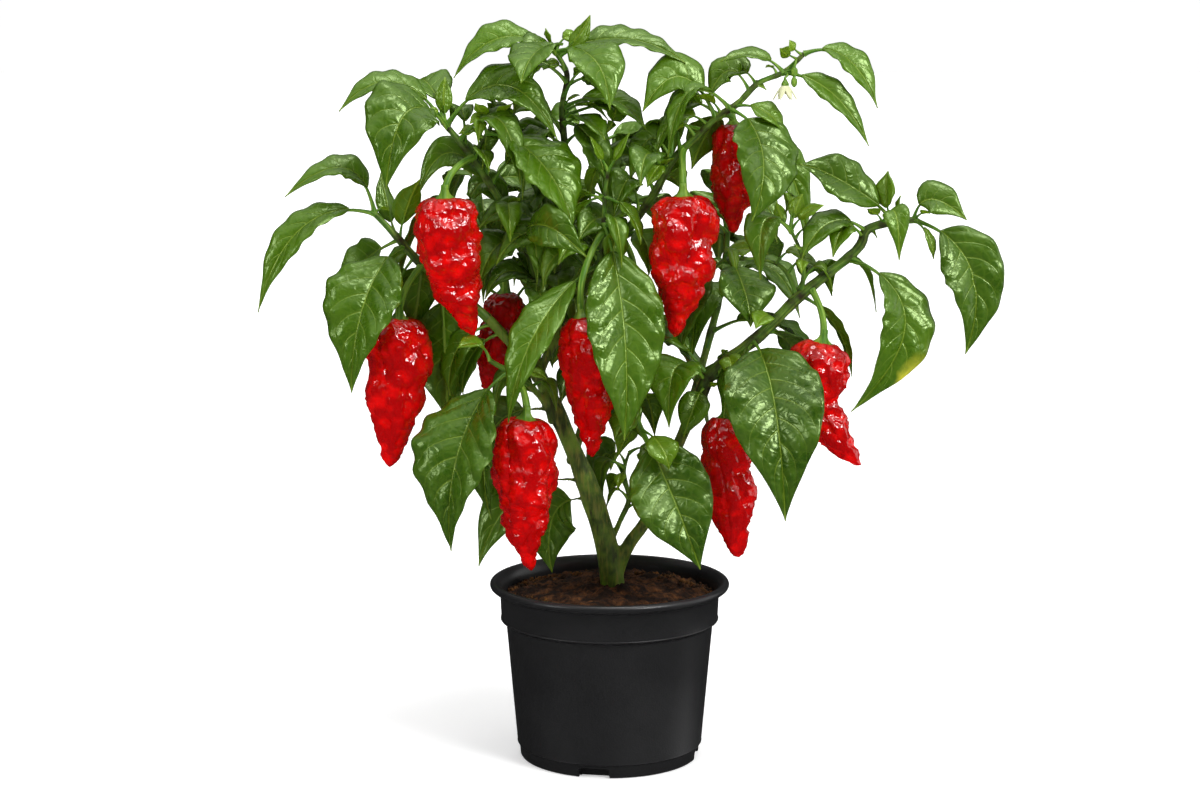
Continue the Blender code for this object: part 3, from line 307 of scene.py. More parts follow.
FILLER_HABIT = dict(swing=0.8, step=0.9, depth=0.8, taper=0.0, length=(0.55, 1.0), shrink=0.0,
                    rise=(0.15, 0.4), drop=(0.0, 0.6), half=(0.2, 0.26), roll=30, shown=True)
LOWEST_FILLER = 126.0
FIRST_SMALL, FIRST_FILLER = 200, 300
# Open gaps that keep clear of them, as seen from the front: (x, z, radius).
OPEN_GAPS = [
    (13, 358, 13), (-21, 376, 7), (99, 297, 14), (112, 270, 9), (70, 273, 9), (65, 262, 6),
    (-152, 335, 8), (-34, 419, 8), (56, 393, 5), (-124, 203, 8), (-75, 241, 9), (-46, 222, 9),
    (-31, 181, 7), (13, 168, 5), (50, 190, 8), (118, 447, 8), (-128, 330, 6), (-20, 300, 5),
    (104, 300, 10), (8, 357, 12)]

# More leaves of the imported model's kind, laid one by one where its boughs are thickest.
SMALL_LEAVES = [
    ("upper_left", 4.0, (-102, 378, 8), (-118, 350, 6), 11, -20),
    ("upper_left", 5.2, (-92, 407, 10), (-98, 392, 12), 9, -10),
    ("upper_left_twig", 1.5, (-69, 410, 6), (-74, 398, 8), 7, 0),
    ("top", 4.5, (-50, 408, 12), (-62, 399, 10), 8, -20),
    ("upper_left", 3.4, (-80, 360, 12), (-88, 339, 14), 10, -10),
    ("upper_left", 4.6, (-74, 388, -2), (-78, 368, -4), 7, 10),
    ("top", 4.8, (4, 405, 10), (-4, 388, 8), 9, 10),
    ("upper_right", 6.2, (28, 397, 14), (39, 387, 14), 8, 20),
    ("upper_right", 4.8, (18, 388, 14), (25, 373, 12), 7, 0),
    ("upper_right", 7.4, (60, 394, 14), (50, 368, 12), 12, -10),
    ("upper_right", 8.6, (72, 429, 4), (60, 410, 2), 11, -30),
    ("upper_right", 10.6, (108, 438, -2), (103, 441, -2), 5, -40),
    ("right_shoot", 2.0, (111, 352, 0), (108, 341, 0), 6, 0),
    ("upper_right", 3.2, (24, 328, 16), (27, 304, 14), 9, 0),
    ("left", 3.6, (-120, 304, 14), (-128, 277, 16), 12, 0),
    ("left", 4.2, (-134, 296, 16), (-145, 275, 18), 10, -10),
    ("upper_left", 2.0, (-73, 308, 10), (-78, 286, 10), 7, 0),
    ("upper_left", 1.5, (-56, 313, 14), (-59, 296, 14), 6, 10),
    ("right", 4.8, (41, 266, 2), (51, 252, 0), 9, 10),
    ("low_right", 2.4, (24, 228, -6), (28, 203, -8), 10, 10),
    ("low_right", 1.6, (13, 208, -10), (5, 190, -8), 9, -10),
    ("low_shoot", 3.2, (-2, 188, 10), (-4, 162, 8), 7, 0),
    ("trunk", 4.4, (-66, 240, 6), (-71, 216, 4), 8, 0),
    ("left", 1.5, (-86, 254, 14), (-91, 229, 14), 9, 0),
    ("top", 4.7, (-12, 388, -4), (-2, 358, -8), 10, 10),
    ("upper_right", 5.0, (27, 388, 4), (12, 360, 2), 12, -15),
    ("upper_right", 3.7, (12, 348, 6), (-3, 332, 4), 10, -15),
    ("top", 2.0, (-64, 344, -4), (-81, 331, -8), 10, -25),
    ("middle", 1.5, (-54, 329, -10), (-70, 309, -14), 10, -20),
    ("middle", 1.6, (-34, 316, -18), (-41, 294, -22), 9, -10),
    ("middle", 2.4, (3, 330, -16), (-5, 308, -22), 9, 10),
    ("upper_right", 3.0, (20, 328, -6), (24, 303, -10), 10, 15),
    ("top", 1.0, (-66, 305, 0), (-77, 288, -4), 9, -25),
    ("left", 1.8, (-90, 264, 8), (-99, 228, 6), 10, -10),
    ("low_right", 2.8, (10, 230, -12), (20, 202, -18), 13, 15),
    ("right_twig", 3.0, (56, 298, 4), (44, 257, 0), 12, -15),
    ("left", 3.9, (-116, 306, 10), (-122, 264, 16), 13, 0),
]
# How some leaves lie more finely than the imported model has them: knee, tip, width, roll.
FINE_LAY = {
    2: ((0, 13), (4, 0), 1.05, -32), 11: ((3, -3), (0, 0), 1.0, 0),
    12: ((4, 0), (2, -2), 1.0, 0), 13: ((0, -11), (6, -3), 1.0, 0), 23: ((0, 0), (0, 0), 1.0, -30),
    28: ((0, -1), (0, -5), 1.15, -20), 30: ((0, 0), (0, 0), 1.1, 22),
    32: ((0, 0), (0, 0), 1.0, -35), 36: ((-3, 0), (0, 0), 1.0, 0),
    37: ((-3, 0), (0, 2), 1.0, 0), 39: ((0, 0), (0, 0), 1.0, -50),
    40: ((0, 0), (3, 0), 1.15, -18), 41: ((0, 2), (0, 4), 1.15, 35),
    43: ((-6, -1), (0, 0), 1.2, 0), 44: ((0, 0), (-5, 0), 0.93, 0), 45: ((0, 0), (-3, -2), 1.0, 0),
    49: ((0, 0), (-2, -2), 1.04, 8), 58: ((2, 0), (0, 0), 0.92, 10), 59: ((2, 0), (2, 0), 0.9, 20),
    64: ((0, 0), (-5, -2), 1.0, -4), 66: ((0, 0), (0, 0), 1.0, -55),
    67: ((0, 0), (-1, 0), 1.1, -35), 68: ((2, 0), (2, 0), 1.3, -30),
    71: ((0, 0), (0, 0), 1.0, -50), 74: ((0, 0), (0, 0), 1.0, -35),
    106: ((-9, 6), (-16, 16), 0.9, 0),
}

# ---- the finer pieces -------------------------------------------------------------------
# How far apart the rows of a blade and of a stalk are. A long blade has the closer rows.
BLADE_STEP, SMALL_BLADE_STEP, LONG_BLADE = 1.9, 2.3, 50
STALK_STEP = 3.0
BLADE_THICK = 0.46
STALK_PROFILE = {"Sides": 12, "Ridges": 4, "Ridge depth": 0.07}
TRUNK_PROFILE = {"Sides": 26, "Ridges": 5, "Ridge depth": 0.05}
TRUNK_GRAIN = 0.95
FRUIT_RINGS_PER_ROW = 6
FRUIT_AROUND, CALYX_AROUND = 108, 40
WRINKLE_WIDE, WRINKLE_TALL = 7.4, 6.0
SOIL_RINGS, SOIL_AROUND = 58, 190
POT_AROUND = 144
# What lies loose on the soil: its number to a square metre, its sizes in metres and its shape.
LITTER = {
    "soil_crumbs": {"Density": 110000.0, "Smallest": 0.0005, "Largest": 0.0024,
                    "Shape": (1.0, 0.8, 0.7), "Roundness": 2, "Seed": 4},
    "soil_fibres": {"Density": 26000.0, "Smallest": 0.0012, "Largest": 0.0030,
                    "Shape": (1.0, 0.12, 0.10), "Roundness": 1, "Seed": 9},
}
MARKS = ("blade", "flat", "traits")
# One old leaf is yellow towards the end of one margin, and a few fruits get painted shade: a darker
# red by these shares.
YELLOWING = {44: 0.9}
YELLOW_SIDE = -1
PAINTED_SHADE_FRUITS = {"pepper_9": 0.5, "pepper_6": 0.25, "pepper_8": 0.2}


# ---- nodes ------------------------------------------------------------------------------
# The inputs of a colour mix by number: how far it goes to the second colour, and both colours.
SHARE, FIRST, SECOND = 0, 6, 7


def srgb(hex_colour):
    """A linear colour from an sRGB hex value."""
    channels = [int(hex_colour[i:i + 2], 16) / 255 for i in (1, 3, 5)]
    return (*[c / 12.92 if c <= 0.04045 else ((c + 0.055) / 1.055) ** 2.4 for c in channels], 1.0)


def feed(tree, node, inputs):
    """Sets a node's inputs, in order or by name: values, or the nodes or sockets that feed them."""
    for key, value in inputs.items() if isinstance(inputs, dict) else enumerate(inputs):
        if isinstance(value, bpy.types.Node):
            value = next(socket for socket in value.outputs if socket.enabled)
        if isinstance(value, bpy.types.NodeSocket):
            tree.links.new(value, node.inputs[key])
        else:
            node.inputs[key].default_value = value


def add(tree, kind, inputs=(), **settings):
    """Adds a node with its settings and its inputs."""
    node = tree.nodes.new(kind)
    for name, value in settings.items():
        setattr(node, name, value)
    feed(tree, node, inputs)
    return node


def new_material(name):
    mat = bpy.data.materials.new(name)
    mat.use_nodes = True
    tree = mat.node_tree
    place = add(tree, "ShaderNodeTexCoord").outputs["Object"]
    return mat, tree, tree.nodes["Principled BSDF"], place


def mark(tree, name):
    """The three numbers that a piece's mesh carries under a name."""
    attribute = add(tree, "ShaderNodeAttribute", attribute_name=name)
    return add(tree, "ShaderNodeSeparateXYZ", [attribute.outputs["Vector"]]).outputs


def per_metre(size):
    """The scale of a pattern whose marks are a size in millimetres across, to two figures."""
    return float(f"{1 / (size * MM):.2g}")


def two_toned(tree, place, size, detail, first, second):
    """Clouds of a size in millimetres, and a colour that drifts from one to another in them."""
    clouds = add(tree, "ShaderNodeTexNoise",
                 {"Vector": place, "Scale": per_metre(size), "Detail": detail})
    colours = {SHARE: clouds, FIRST: srgb(first), SECOND: srgb(second)}
    return clouds, add(tree, "ShaderNodeMix", colours, data_type="RGBA")


# ---- materials --------------------------------------------------------------------------
def leaf_side(name, deep, bright, vein, young, roughness, relief):
    """Living leaf skin: waxy, darker between the veins, quilted by a net of fine veins."""
    mat, tree, skin, place = new_material(name)
    phase, share, off_midrib = mark(tree, "blade")
    tone, youth, yellowing = mark(tree, "traits")
    flat = add(tree, "ShaderNodeAttribute", attribute_name="flat").outputs["Vector"]
    # Side veins lie at the whole numbers of the phase, and fade towards the margin.
    off_vein = add(tree, "ShaderNodeMath", [phase, 0.5], operation="PINGPONG")
    line = add(tree, "ShaderNodeMapRange", [off_vein, 0.01, 0.07, 1.0, 0.0],
               interpolation_type="SMOOTHSTEP")
    fade = add(tree, "ShaderNodeMapRange", [share, 0.15, 1.0, 0.75, 0.1])
    side_vein = add(tree, "ShaderNodeMath", [line, fade], operation="MULTIPLY")
    midrib = add(tree, "ShaderNodeMapRange", [off_midrib, 0.2 * MM, 0.8 * MM, 1.0, 0.0],
                 interpolation_type="SMOOTHSTEP")
    veins = add(tree, "ShaderNodeMath", [side_vein, midrib], operation="MAXIMUM")
    # The finest veins close cells about 4.8 mm across, bent out of line by a slow noise.
    drift = add(tree, "ShaderNodeTexNoise",
                {"Vector": flat, "Scale": per_metre(8.3), "Detail": 1.0})
    bent = add(tree, "ShaderNodeVectorMath",
               [drift.outputs["Color"], (5 * MM, 5 * MM, 0.0), flat], operation="MULTIPLY_ADD")
    cells = add(tree, "ShaderNodeTexVoronoi", {"Vector": bent, "Scale": per_metre(4.8)},
                feature="DISTANCE_TO_EDGE")
    net = add(tree, "ShaderNodeMapRange", [cells, 0.0, 0.3, 1.0, 0.0],
              interpolation_type="SMOOTHSTEP")
    # Clouds of deeper and brighter green, about 26 mm across.
    clouds = add(tree, "ShaderNodeTexNoise",
                 {"Vector": place, "Scale": per_metre(26), "Detail": 3.0})
    shade = add(tree, "ShaderNodeMath", [clouds, tone], operation="ADD")
    shade = add(tree, "ShaderNodeMapRange", [shade, 0.45, 1.5])
    netted = add(tree, "ShaderNodeMath", [net, 0.05], operation="MULTIPLY")
    veined = add(tree, "ShaderNodeMath", [veins, 0.36], operation="MULTIPLY")
    pale = add(tree, "ShaderNodeMath", [veined, netted], operation="MAXIMUM")
    # Old leaves turn yellow in patches near the margin.
    patches = add(tree, "ShaderNodeTexNoise",
                  {"Vector": flat, "Scale": per_metre(24), "Detail": 4.0})
    patches = add(tree, "ShaderNodeMath", [share, 0.35, patches], operation="MULTIPLY_ADD")
    patches = add(tree, "ShaderNodeMapRange", [patches, 0.74, 0.92])
    turned_yellow = add(tree, "ShaderNodeMath", [patches, yellowing], operation="MULTIPLY")
    colour = srgb(deep)
    for part, layer in ((shade, bright), (youth, young), (pale, vein), (turned_yellow, "#C3BB2C")):
        colour = add(tree, "ShaderNodeMix", {SHARE: part, FIRST: colour, SECOND: srgb(layer)},
                     data_type="RGBA")
    sheen = add(tree, "ShaderNodeMapRange", [clouds, 0.3, 0.7, roughness - 0.05, roughness + 0.08])
    grain = add(tree, "ShaderNodeTexNoise",
                {"Vector": flat, "Scale": per_metre(2.4), "Detail": 2.0})
    ditches = add(tree, "ShaderNodeMath", [net, 0.35, veins], operation="MULTIPLY_ADD")
    ditches = add(tree, "ShaderNodeMath", [ditches, -relief], operation="MULTIPLY")
    height = add(tree, "ShaderNodeMath", [grain, 0.5, ditches], operation="MULTIPLY_ADD")
    bump = add(tree, "ShaderNodeBump",
               {"Height": height, "Strength": 0.6, "Distance": 0.5 * MM})
    # The wax gives back a little more green than the rest of the light.
    feed(tree, skin, {"Base Color": colour, "Roughness": sheen, "IOR": 1.5,
                      "Specular IOR Level": 1.0, "Specular Tint": srgb("#E2FFB4"),
                      "Normal": bump})
    return mat


def leaf_face():
    """The upper side: glossy deep green with yellow-green sunk veins."""
    return leaf_side("leaf_upper_skin", "#1B3A00", "#466C00", "#98AE38", "#789C0E", 0.29, 1.0)


def leaf_back():
    """The underside: matt, greyer and paler, with raised veins."""
    return leaf_side("leaf_lower_skin", "#44701A", "#688E2C", "#9DB45C", "#80A42C", 0.55, -0.8)


def stalk_skin(name, green, streak, dark, roughness):
    """Green stem skin: long pale streaks between its ridges, and brown-violet nodes."""
    mat, tree, skin, place = new_material(name)
    tone, node, _ = mark(tree, "traits")
    flat = add(tree, "ShaderNodeAttribute", attribute_name="flat").outputs["Vector"]
    # The streaks run along the stalk, about 2 mm wide and 25 mm long.
    stretch = add(tree, "ShaderNodeMapping",
                  {"Vector": flat, "Scale": (per_metre(2), per_metre(25), 1.0)})
    streaks = add(tree, "ShaderNodeTexNoise", {"Vector": stretch, "Scale": 1.0, "Detail": 3.0})
    pale = add(tree, "ShaderNodeMapRange", [streaks, 0.42, 0.68])
    blotch = add(tree, "ShaderNodeTexNoise",
                 {"Vector": place, "Scale": per_metre(5.9), "Detail": 4.0})
    blotch = add(tree, "ShaderNodeMapRange", [blotch, 0.35, 0.65, 0.25, 1.0])
    darkness = add(tree, "ShaderNodeMath", [blotch, node], operation="MULTIPLY", use_clamp=True)
    colour = srgb(green)
    for part, layer in ((pale, streak), (darkness, dark)):
        colour = add(tree, "ShaderNodeMix", {SHARE: part, FIRST: colour, SECOND: srgb(layer)},
                     data_type="RGBA")
    bright = add(tree, "ShaderNodeMapRange", [tone, 0.0, 1.0, 0.8, 1.25])
    colour = add(tree, "ShaderNodeHueSaturation", {"Color": colour, "Value": bright})
    bump = add(tree, "ShaderNodeBump",
               {"Height": streaks, "Strength": 0.5, "Distance": 0.6 * MM})
    feed(tree, skin, {"Base Color": colour, "Roughness": roughness, "Specular IOR Level": 0.3,
                      "Normal": bump})
    return mat


def trunk_bark():
    """Half-woody chilli stem: green skin breaking into corky brown streaks."""
    mat, tree, skin, place = new_material("half_woody_bark")
    # The cork's streaks are about 2.4 mm wide and 17 mm tall.
    wide, tall = per_metre(2.4), per_metre(16.7)
    stretch = add(tree, "ShaderNodeMapping", {"Vector": place, "Scale": (wide, wide, tall)})
    cork = add(tree, "ShaderNodeTexNoise",
               {"Vector": stretch, "Scale": 1.0, "Detail": 5.0, "Roughness": 0.62})
    mottle = add(tree, "ShaderNodeTexNoise",
                 {"Vector": place, "Scale": per_metre(13.3), "Detail": 4.0})
    green = add(tree, "ShaderNodeMapRange", [mottle, 0.36, 0.64])
    corky = add(tree, "ShaderNodeMapRange", [cork, 0.50, 0.68, 0.0, 0.8])
    cracks = add(tree, "ShaderNodeMapRange", [cork, 0.30, 0.44, 0.85, 0.0])
    colour = srgb("#33460A")
    for part, layer in ((green, "#62801A"), (corky, "#7E7A30"), (cracks, "#291F0A")):
        colour = add(tree, "ShaderNodeMix", {SHARE: part, FIRST: colour, SECOND: srgb(layer)},
                     data_type="RGBA")
    bump = add(tree, "ShaderNodeBump", {"Height": cork, "Strength": 0.8, "Distance": 1.1 * MM})
    feed(tree, skin, {"Base Color": colour, "Roughness": 0.5, "Specular IOR Level": 0.35,
                      "Normal": bump})
    return mat


def fruit_skin():
    """Ripe chilli skin: a thin clear wax over deep red, with painted shade darkening it down in the
    wrinkles and on shaded fruits.
    """
    mat, tree, skin, place = new_material("ripe_fruit_skin")
    crease_shade, _, shadow = mark(tree, "traits")
    _, colour = two_toned(tree, place, 11.1, 3.0, "#BE0002", "#EC0A06")
    # Painted shade: a darker red down in the wrinkles, and on the fruits that are set in shade.
    for part, layer in ((crease_shade, "#7C0003"), (shadow, "#7A0306")):
        colour = add(tree, "ShaderNodeMix", {SHARE: part, FIRST: colour, SECOND: srgb(layer)},
                     data_type="RGBA")
    # Pimples about 2.4 mm across between the wrinkles.
    pimples = add(tree, "ShaderNodeTexNoise",
                  {"Vector": place, "Scale": per_metre(2.4), "Detail": 2.0})
    bump = add(tree, "ShaderNodeBump",
               {"Height": pimples, "Strength": 0.5, "Distance": 1.0 * MM})
    feed(tree, skin, {"Base Color": colour, "Roughness": 0.32, "Specular IOR Level": 0.0,
                      "Coat Weight": 1.0, "Coat Roughness": 0.05, "Coat IOR": 1.75,
                      "Normal": bump, "Coat Normal": bump})
    return mat


def black_polypropylene():
    """Moulded recycled polypropylene: black, half matt, with a faint flow unevenness."""
    mat, tree, skin, place = new_material("black_polypropylene")
    flow, colour = two_toned(tree, place, 45, 5.0, "#151516", "#212122")
    rough = add(tree, "ShaderNodeMapRange", [flow, 0.3, 0.7, 0.3, 0.42])
    # A moulded grain about a millimetre across.
    grain = add(tree, "ShaderNodeTexNoise",
                {"Vector": place, "Scale": per_metre(1.11), "Detail": 2.0})
    bump = add(tree, "ShaderNodeBump", {"Height": grain, "Strength": 0.12, "Distance": 0.6 * MM})
    feed(tree, skin, {"Base Color": colour, "Roughness": rough, "Specular IOR Level": 0.45,
                      "Normal": bump})
    return mat


def peat(name, dark, light, roughness=0.92):
    """Damp peat and bark compost: dark crumbs with lighter reddish ones among them."""
    mat, tree, skin, place = new_material(name)
    crumbs = add(tree, "ShaderNodeTexNoise",
                 {"Vector": place, "Scale": per_metre(3.8), "Detail": 6.0, "Roughness": 0.7})
    share = add(tree, "ShaderNodeMapRange", [crumbs, 0.38, 0.68])
    # Wetter, darker patches about a centimetre across.
    damp = add(tree, "ShaderNodeTexNoise",
               {"Vector": place, "Scale": per_metre(10.5), "Detail": 4.0})
    damp = add(tree, "ShaderNodeMapRange", [damp, 0.4, 0.62, 0.12, 1.15])
    share = add(tree, "ShaderNodeMath", [share, damp], operation="MULTIPLY")
    colours = {SHARE: share, FIRST: srgb(dark), SECOND: srgb(light)}
    colour = add(tree, "ShaderNodeMix", colours, data_type="RGBA")
    bump = add(tree, "ShaderNodeBump", {"Height": crumbs, "Strength": 0.9, "Distance": 1.6 * MM})
    feed(tree, skin, {"Base Color": colour, "Roughness": roughness, "Specular IOR Level": 0.25,
                      "Normal": bump})
    return mat


def petal_skin():
    """Thin matt petals, creamy white with faint greenish veins."""
    mat, tree, skin, place = new_material("flower_petal")
    _, colour = two_toned(tree, place, 2.0, 2.0, "#DCDAB8", "#C4CA94")
    feed(tree, skin, {"Base Color": colour, "Roughness": 0.6})
    return mat


def pollen_skin():
    """Anthers: dusty blue-grey with yellow pollen on them."""
    mat, tree, skin, place = new_material("anther_pollen")
    _, colour = two_toned(tree, place, 0.67, 2.0, "#7E7F74", "#D9CC7A")
    feed(tree, skin, {"Base Color": colour, "Roughness": 0.85})
    return mat


def studio_floor():
    """White table film over a lit table: its own faint light keeps the shadow on it pale."""
    mat, tree, skin, place = new_material("studio_floor")
    _, colour = two_toned(tree, place, 1670, 2.0, "#EAEAEA", "#EDEDED")
    feed(tree, skin, {"Base Color": colour, "Roughness": 0.8, "Emission Color": srgb("#FFFFFF"),
                      "Emission Strength": 0.4})
    return mat


def studio_backdrop():
    """White paper that is lit evenly from behind."""
    mat, tree, skin, place = new_material("studio_backdrop")
    _, colour = two_toned(tree, place, 50000, 2.0, "#FEFEFE", "#FFFFFF")
    feed(tree, skin, {"Base Color": srgb("#000000"), "Emission Color": colour,
                      "Emission Strength": 1.0})
    return mat


# ---- meshes -----------------------------------------------------------------------------
def write_mark(mesh, name, triples):
    """Gives each point of a mesh three numbers, which its material reads under a name."""
    attribute = mesh.attributes.get(name) or mesh.attributes.new(name, "FLOAT_VECTOR", "POINT")
    attribute.data.foreach_set("vector", np.array(triples, np.float32).ravel())


class Gathered:
    """Shapes gathered into one mesh, in millimetres, with the marks that materials read."""

    def __init__(self):
        self.points, self.faces, self.slots, self.count = [], [], [], 0
        self.marks = {name: [] for name in MARKS}

    def add(self, points, faces, slot=0, **marks):
        self.faces += [[corner + self.count for corner in face] for face in faces]
        self.slots += [slot] * len(faces) if isinstance(slot, int) else slot
        self.points.append(points)
        for name, kept in self.marks.items():
            kept.append(np.broadcast_to(marks.get(name, (0.0, 0.0, 0.0)), points.shape))
        self.count += len(points)

    def mesh(self, name):
        mesh = bpy.data.meshes.new(name)
        mesh.from_pydata(np.concatenate(self.points) * MM, [], self.faces)
        mesh.polygons.foreach_set("material_index", self.slots)
        for mark_name, kept in self.marks.items():
            write_mark(mesh, mark_name, np.concatenate(kept))
        mesh.shade_smooth()
        return mesh


def finished(bm, name):
    """The mesh that a bmesh holds."""
    mesh = bpy.data.meshes.new(name)
    bm.to_mesh(mesh)
    bm.free()
    return mesh


def put(name, data):
    """A new object of the scene."""
    obj = bpy.data.objects.new(name, data)
    bpy.context.scene.collection.objects.link(obj)
    return obj


def show(name, mesh, slot, nodes, *materials):
    """Puts a finished mesh in the scene as a piece that stands for CAD nodes."""
    mesh.name = name
    obj = put(name, mesh)
    mesh.materials.clear()
    for mat in materials:
        mesh.materials.append(mat)
    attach(obj, "root")
    if nodes:
        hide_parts(*nodes)


def applied(obj, *cutters):
    """The plain mesh that an object's modifiers make. The object and its cutters are removed."""
    depsgraph = bpy.context.evaluated_depsgraph_get()
    mesh = bpy.data.meshes.new_from_object(obj.evaluated_get(depsgraph))
    for used in (obj, *cutters):
        bpy.data.objects.remove(used)
    return mesh


def made_by(tree, mesh, values):
    """The plain mesh that a node tree makes of a mesh, with its named inputs set."""
    source = put(tree.name, mesh)
    modifier = source.modifiers.new(tree.name, "NODES")
    modifier.node_group = tree
    sockets = {item.name: item.identifier for item in tree.interface.items_tree}
    for name, value in values.items():
        modifier[sockets[name]] = value
    return applied(source)


def new_tree(name, inputs):
    """An empty Geometry Nodes tree with a geometry input and output and named inputs."""
    tree = bpy.data.node_groups.new(name, "GeometryNodeTree")
    tree.interface.new_socket("Geometry", in_out="OUTPUT", socket_type="NodeSocketGeometry")
    tree.interface.new_socket("Source", in_out="INPUT", socket_type="NodeSocketGeometry")
    for label, kind in inputs.items():
        tree.interface.new_socket(label, in_out="INPUT", socket_type="NodeSocket" + kind)
    return tree, add(tree, "NodeGroupInput").outputs


def finish_tree(tree, geometry, skin):
    real = add(tree, "GeometryNodeRealizeInstances", [geometry])
    smooth = add(tree, "GeometryNodeSetShadeSmooth", [real])
    dressed = add(tree, "GeometryNodeSetMaterial", {0: smooth, "Material": skin})
    add(tree, "NodeGroupOutput", [dressed])


def seen(x, z, y):
    """The point y deep that shows at (x, z) of the trunk's plane from the eye."""
    share = 1.0 - y / EYE.y
    return Vector((EYE.x + (x - EYE.x) * share, y, EYE.z + (z - EYE.z) * share))


def shows_at(place):
    """Where a place shows from the eye, as (x, z) of the trunk's plane."""
    share = 1.0 - place.y / EYE.y
    return EYE.x + (place.x - EYE.x) / share, EYE.z + (place.z - EYE.z) / share


def path_of(name):
    """A stem's axis: four-part vectors of place and radius."""
    return [Vector((*seen(x, z, y), r)) for x, z, y, r in STEMS[name]["rows"]]


def drawn_path(name):
    """A stem's axis as it is drawn: leaning a little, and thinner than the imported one."""
    path, girth = path_of(name), TRUNK_GIRTH if name == "trunk" else STEM_GIRTH
    for row, lean in zip(path, LEANS.get(name, ())):
        row.x += lean
    for row in path:
        row.w *= girth
    return path


def on_path(path, u):
    """The point u rows along a path, on a smooth curve through its rows."""
    i = min(int(u), len(path) - 2)
    f = u - i
    a, b, c, d = (path[min(max(j, 0), len(path) - 1)] for j in (i - 1, i, i + 1, i + 2))
    return 0.5 * (2 * b + (c - a) * f + (2 * a - 5 * b + 4 * c - d) * f ** 2
                  + (3 * b - a - 3 * c + d) * f ** 3)


def bowed(first, bend, last, t):
    """Place and heading a share t along the curve from first to last that leans to the bend."""
    place = (1 - t) ** 2 * first + 2 * t * (1 - t) * bend + t * t * last
    heading = (1 - t) * (bend - first) + t * (last - bend)
    return place, heading.normalized()


# ---- leaves -----------------------------------------------------------------------------
class Leaf:
    """One leaf: where it grows, how its midrib runs and how its blade is turned."""

    def __init__(self, stem, base, knee, tip, half, roll, index):
        self.stem, self.node = stem, STEMS[stem]["node"]
        self.base, self.knee, self.tip = base, knee, tip
        self.half, self.roll = half, math.radians(roll)
        self.index = index
        near, far = (knee - base).length, (tip - knee).length
        self.length = near + far
        self.turn = min(max(near / self.length, 0.3), 0.65)
        self.blade = min(0.45, (5.0 + 0.11 * self.length) / self.length)

    def changed(self, **values):
        """The same leaf with some of its values changed."""
        leaf = copy.copy(self)
        vars(leaf).update(values)
        return leaf

    def pushed(self, depth):
        """The same leaf with its knee and tip moved along the lines of sight."""
        knee, tip = (p + (p - EYE) * (depth / (p.y - EYE.y)) for p in (self.knee, self.tip))
        return self.changed(knee=knee, tip=tip)

    def laid(self, knee, tip, wider, turned):
        """The same leaf with its knee and tip shifted sideways and up, its width and its roll."""
        return self.changed(knee=self.knee + Vector((knee[0], 0.0, knee[1])),
                            tip=self.tip + Vector((tip[0], 0.0, tip[1])),
                            half=self.half * wider, roll=self.roll + math.radians(turned))

    def shown(self):
        """The same leaf rolled just far enough for its upper side to show from the front."""
        for turned in (0, -20, 20, -40, 40, -60, 60):
            tried = self.changed(roll=self.roll + math.radians(turned))
            place, _, normal = tried.spine(0.6)
            if normal.dot((EYE - place).normalized()) > 0.6:
                return tried
        return self

    def midrib(self, t):
        """Place, heading and bend point of the curve from base to tip through the knee."""
        k = self.turn
        bend = (self.knee - (1 - k) ** 2 * self.base - k * k * self.tip) / (2 * k * (1 - k))
        return *bowed(self.base, bend, self.tip, t), bend

    def spine(self, t):
        """The midrib as it is drawn: sunk a little into the arch, so that the fold stays on it."""
        place, heading, bend = self.midrib(t)
        normal = self.facing(heading, bend)
        share = max(0.0, (t - self.blade) / (1 - self.blade))
        return place - normal * 0.2 * self.half * math.sin(math.pi * share ** 0.8), heading, normal

    def facing(self, heading, bend):
        """The way the upper side faces, square to the heading."""
        chord = (self.tip - self.base).normalized()
        outward = (bend - self.base) - chord * (bend - self.base).dot(chord)
        if outward.length < 0.5:
            outward = UP
        across = heading.cross(outward)
        if across.length < 0.05:
            across = heading.cross(UP)
        normal = across.cross(heading).normalized()
        return Matrix.Rotation(self.roll, 3, heading) @ normal

    def half_at(self, s):
        """Half width a share s along the blade: ovate, drawn out to a narrow tip."""
        taper = 1.0 - 0.35 * max(0.0, (s - 0.7) / 0.3)
        widest = 0.4 ** 0.7 * 0.6 ** 1.05
        return self.half * s ** 0.7 * (1 - s) ** 1.05 / widest * taper


def lies_on(leaf, tree):
    """How far the leaf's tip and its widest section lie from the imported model's surface."""
    share = 0.4 if leaf.length > 42 else 0.2 if leaf.length > 22 else 0.35
    stations = (1.0, leaf.blade + (1 - leaf.blade) * share)
    return max(tree.find_nearest(leaf.midrib(t)[0] * MM)[3] for t in stations) / MM


def placed_leaves(trees):
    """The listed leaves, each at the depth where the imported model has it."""
    leaves = []
    for i, (stem, row, knee, tip, half, roll) in enumerate(LEAVES):
        base = on_path(path_of(stem), row - 0.04 * (i % NODE_SPREAD)).to_3d()
        leaf = Leaf(stem, base, seen(*knee), seen(*tip), half, roll, i)
        tries = [leaf.pushed(depth) for depth in DEPTH_SHIFTS]
        found = min(tries, key=lambda t: lies_on(t, trees[t.node]))
        if lies_on(found, trees[found.node]) < LEAF_THICK:
            leaves.append(found)
    return leaves


def small_leaves():
    """The listed leaves that only this file has."""
    leaves = []
    for i, (stem, row, knee, tip, half, roll) in enumerate(SMALL_LEAVES, FIRST_SMALL):
        base = on_path(path_of(stem), row).to_3d()
        leaves.append(Leaf(stem, base, seen(*knee), seen(*tip), half, roll, i).shown())
    return leaves


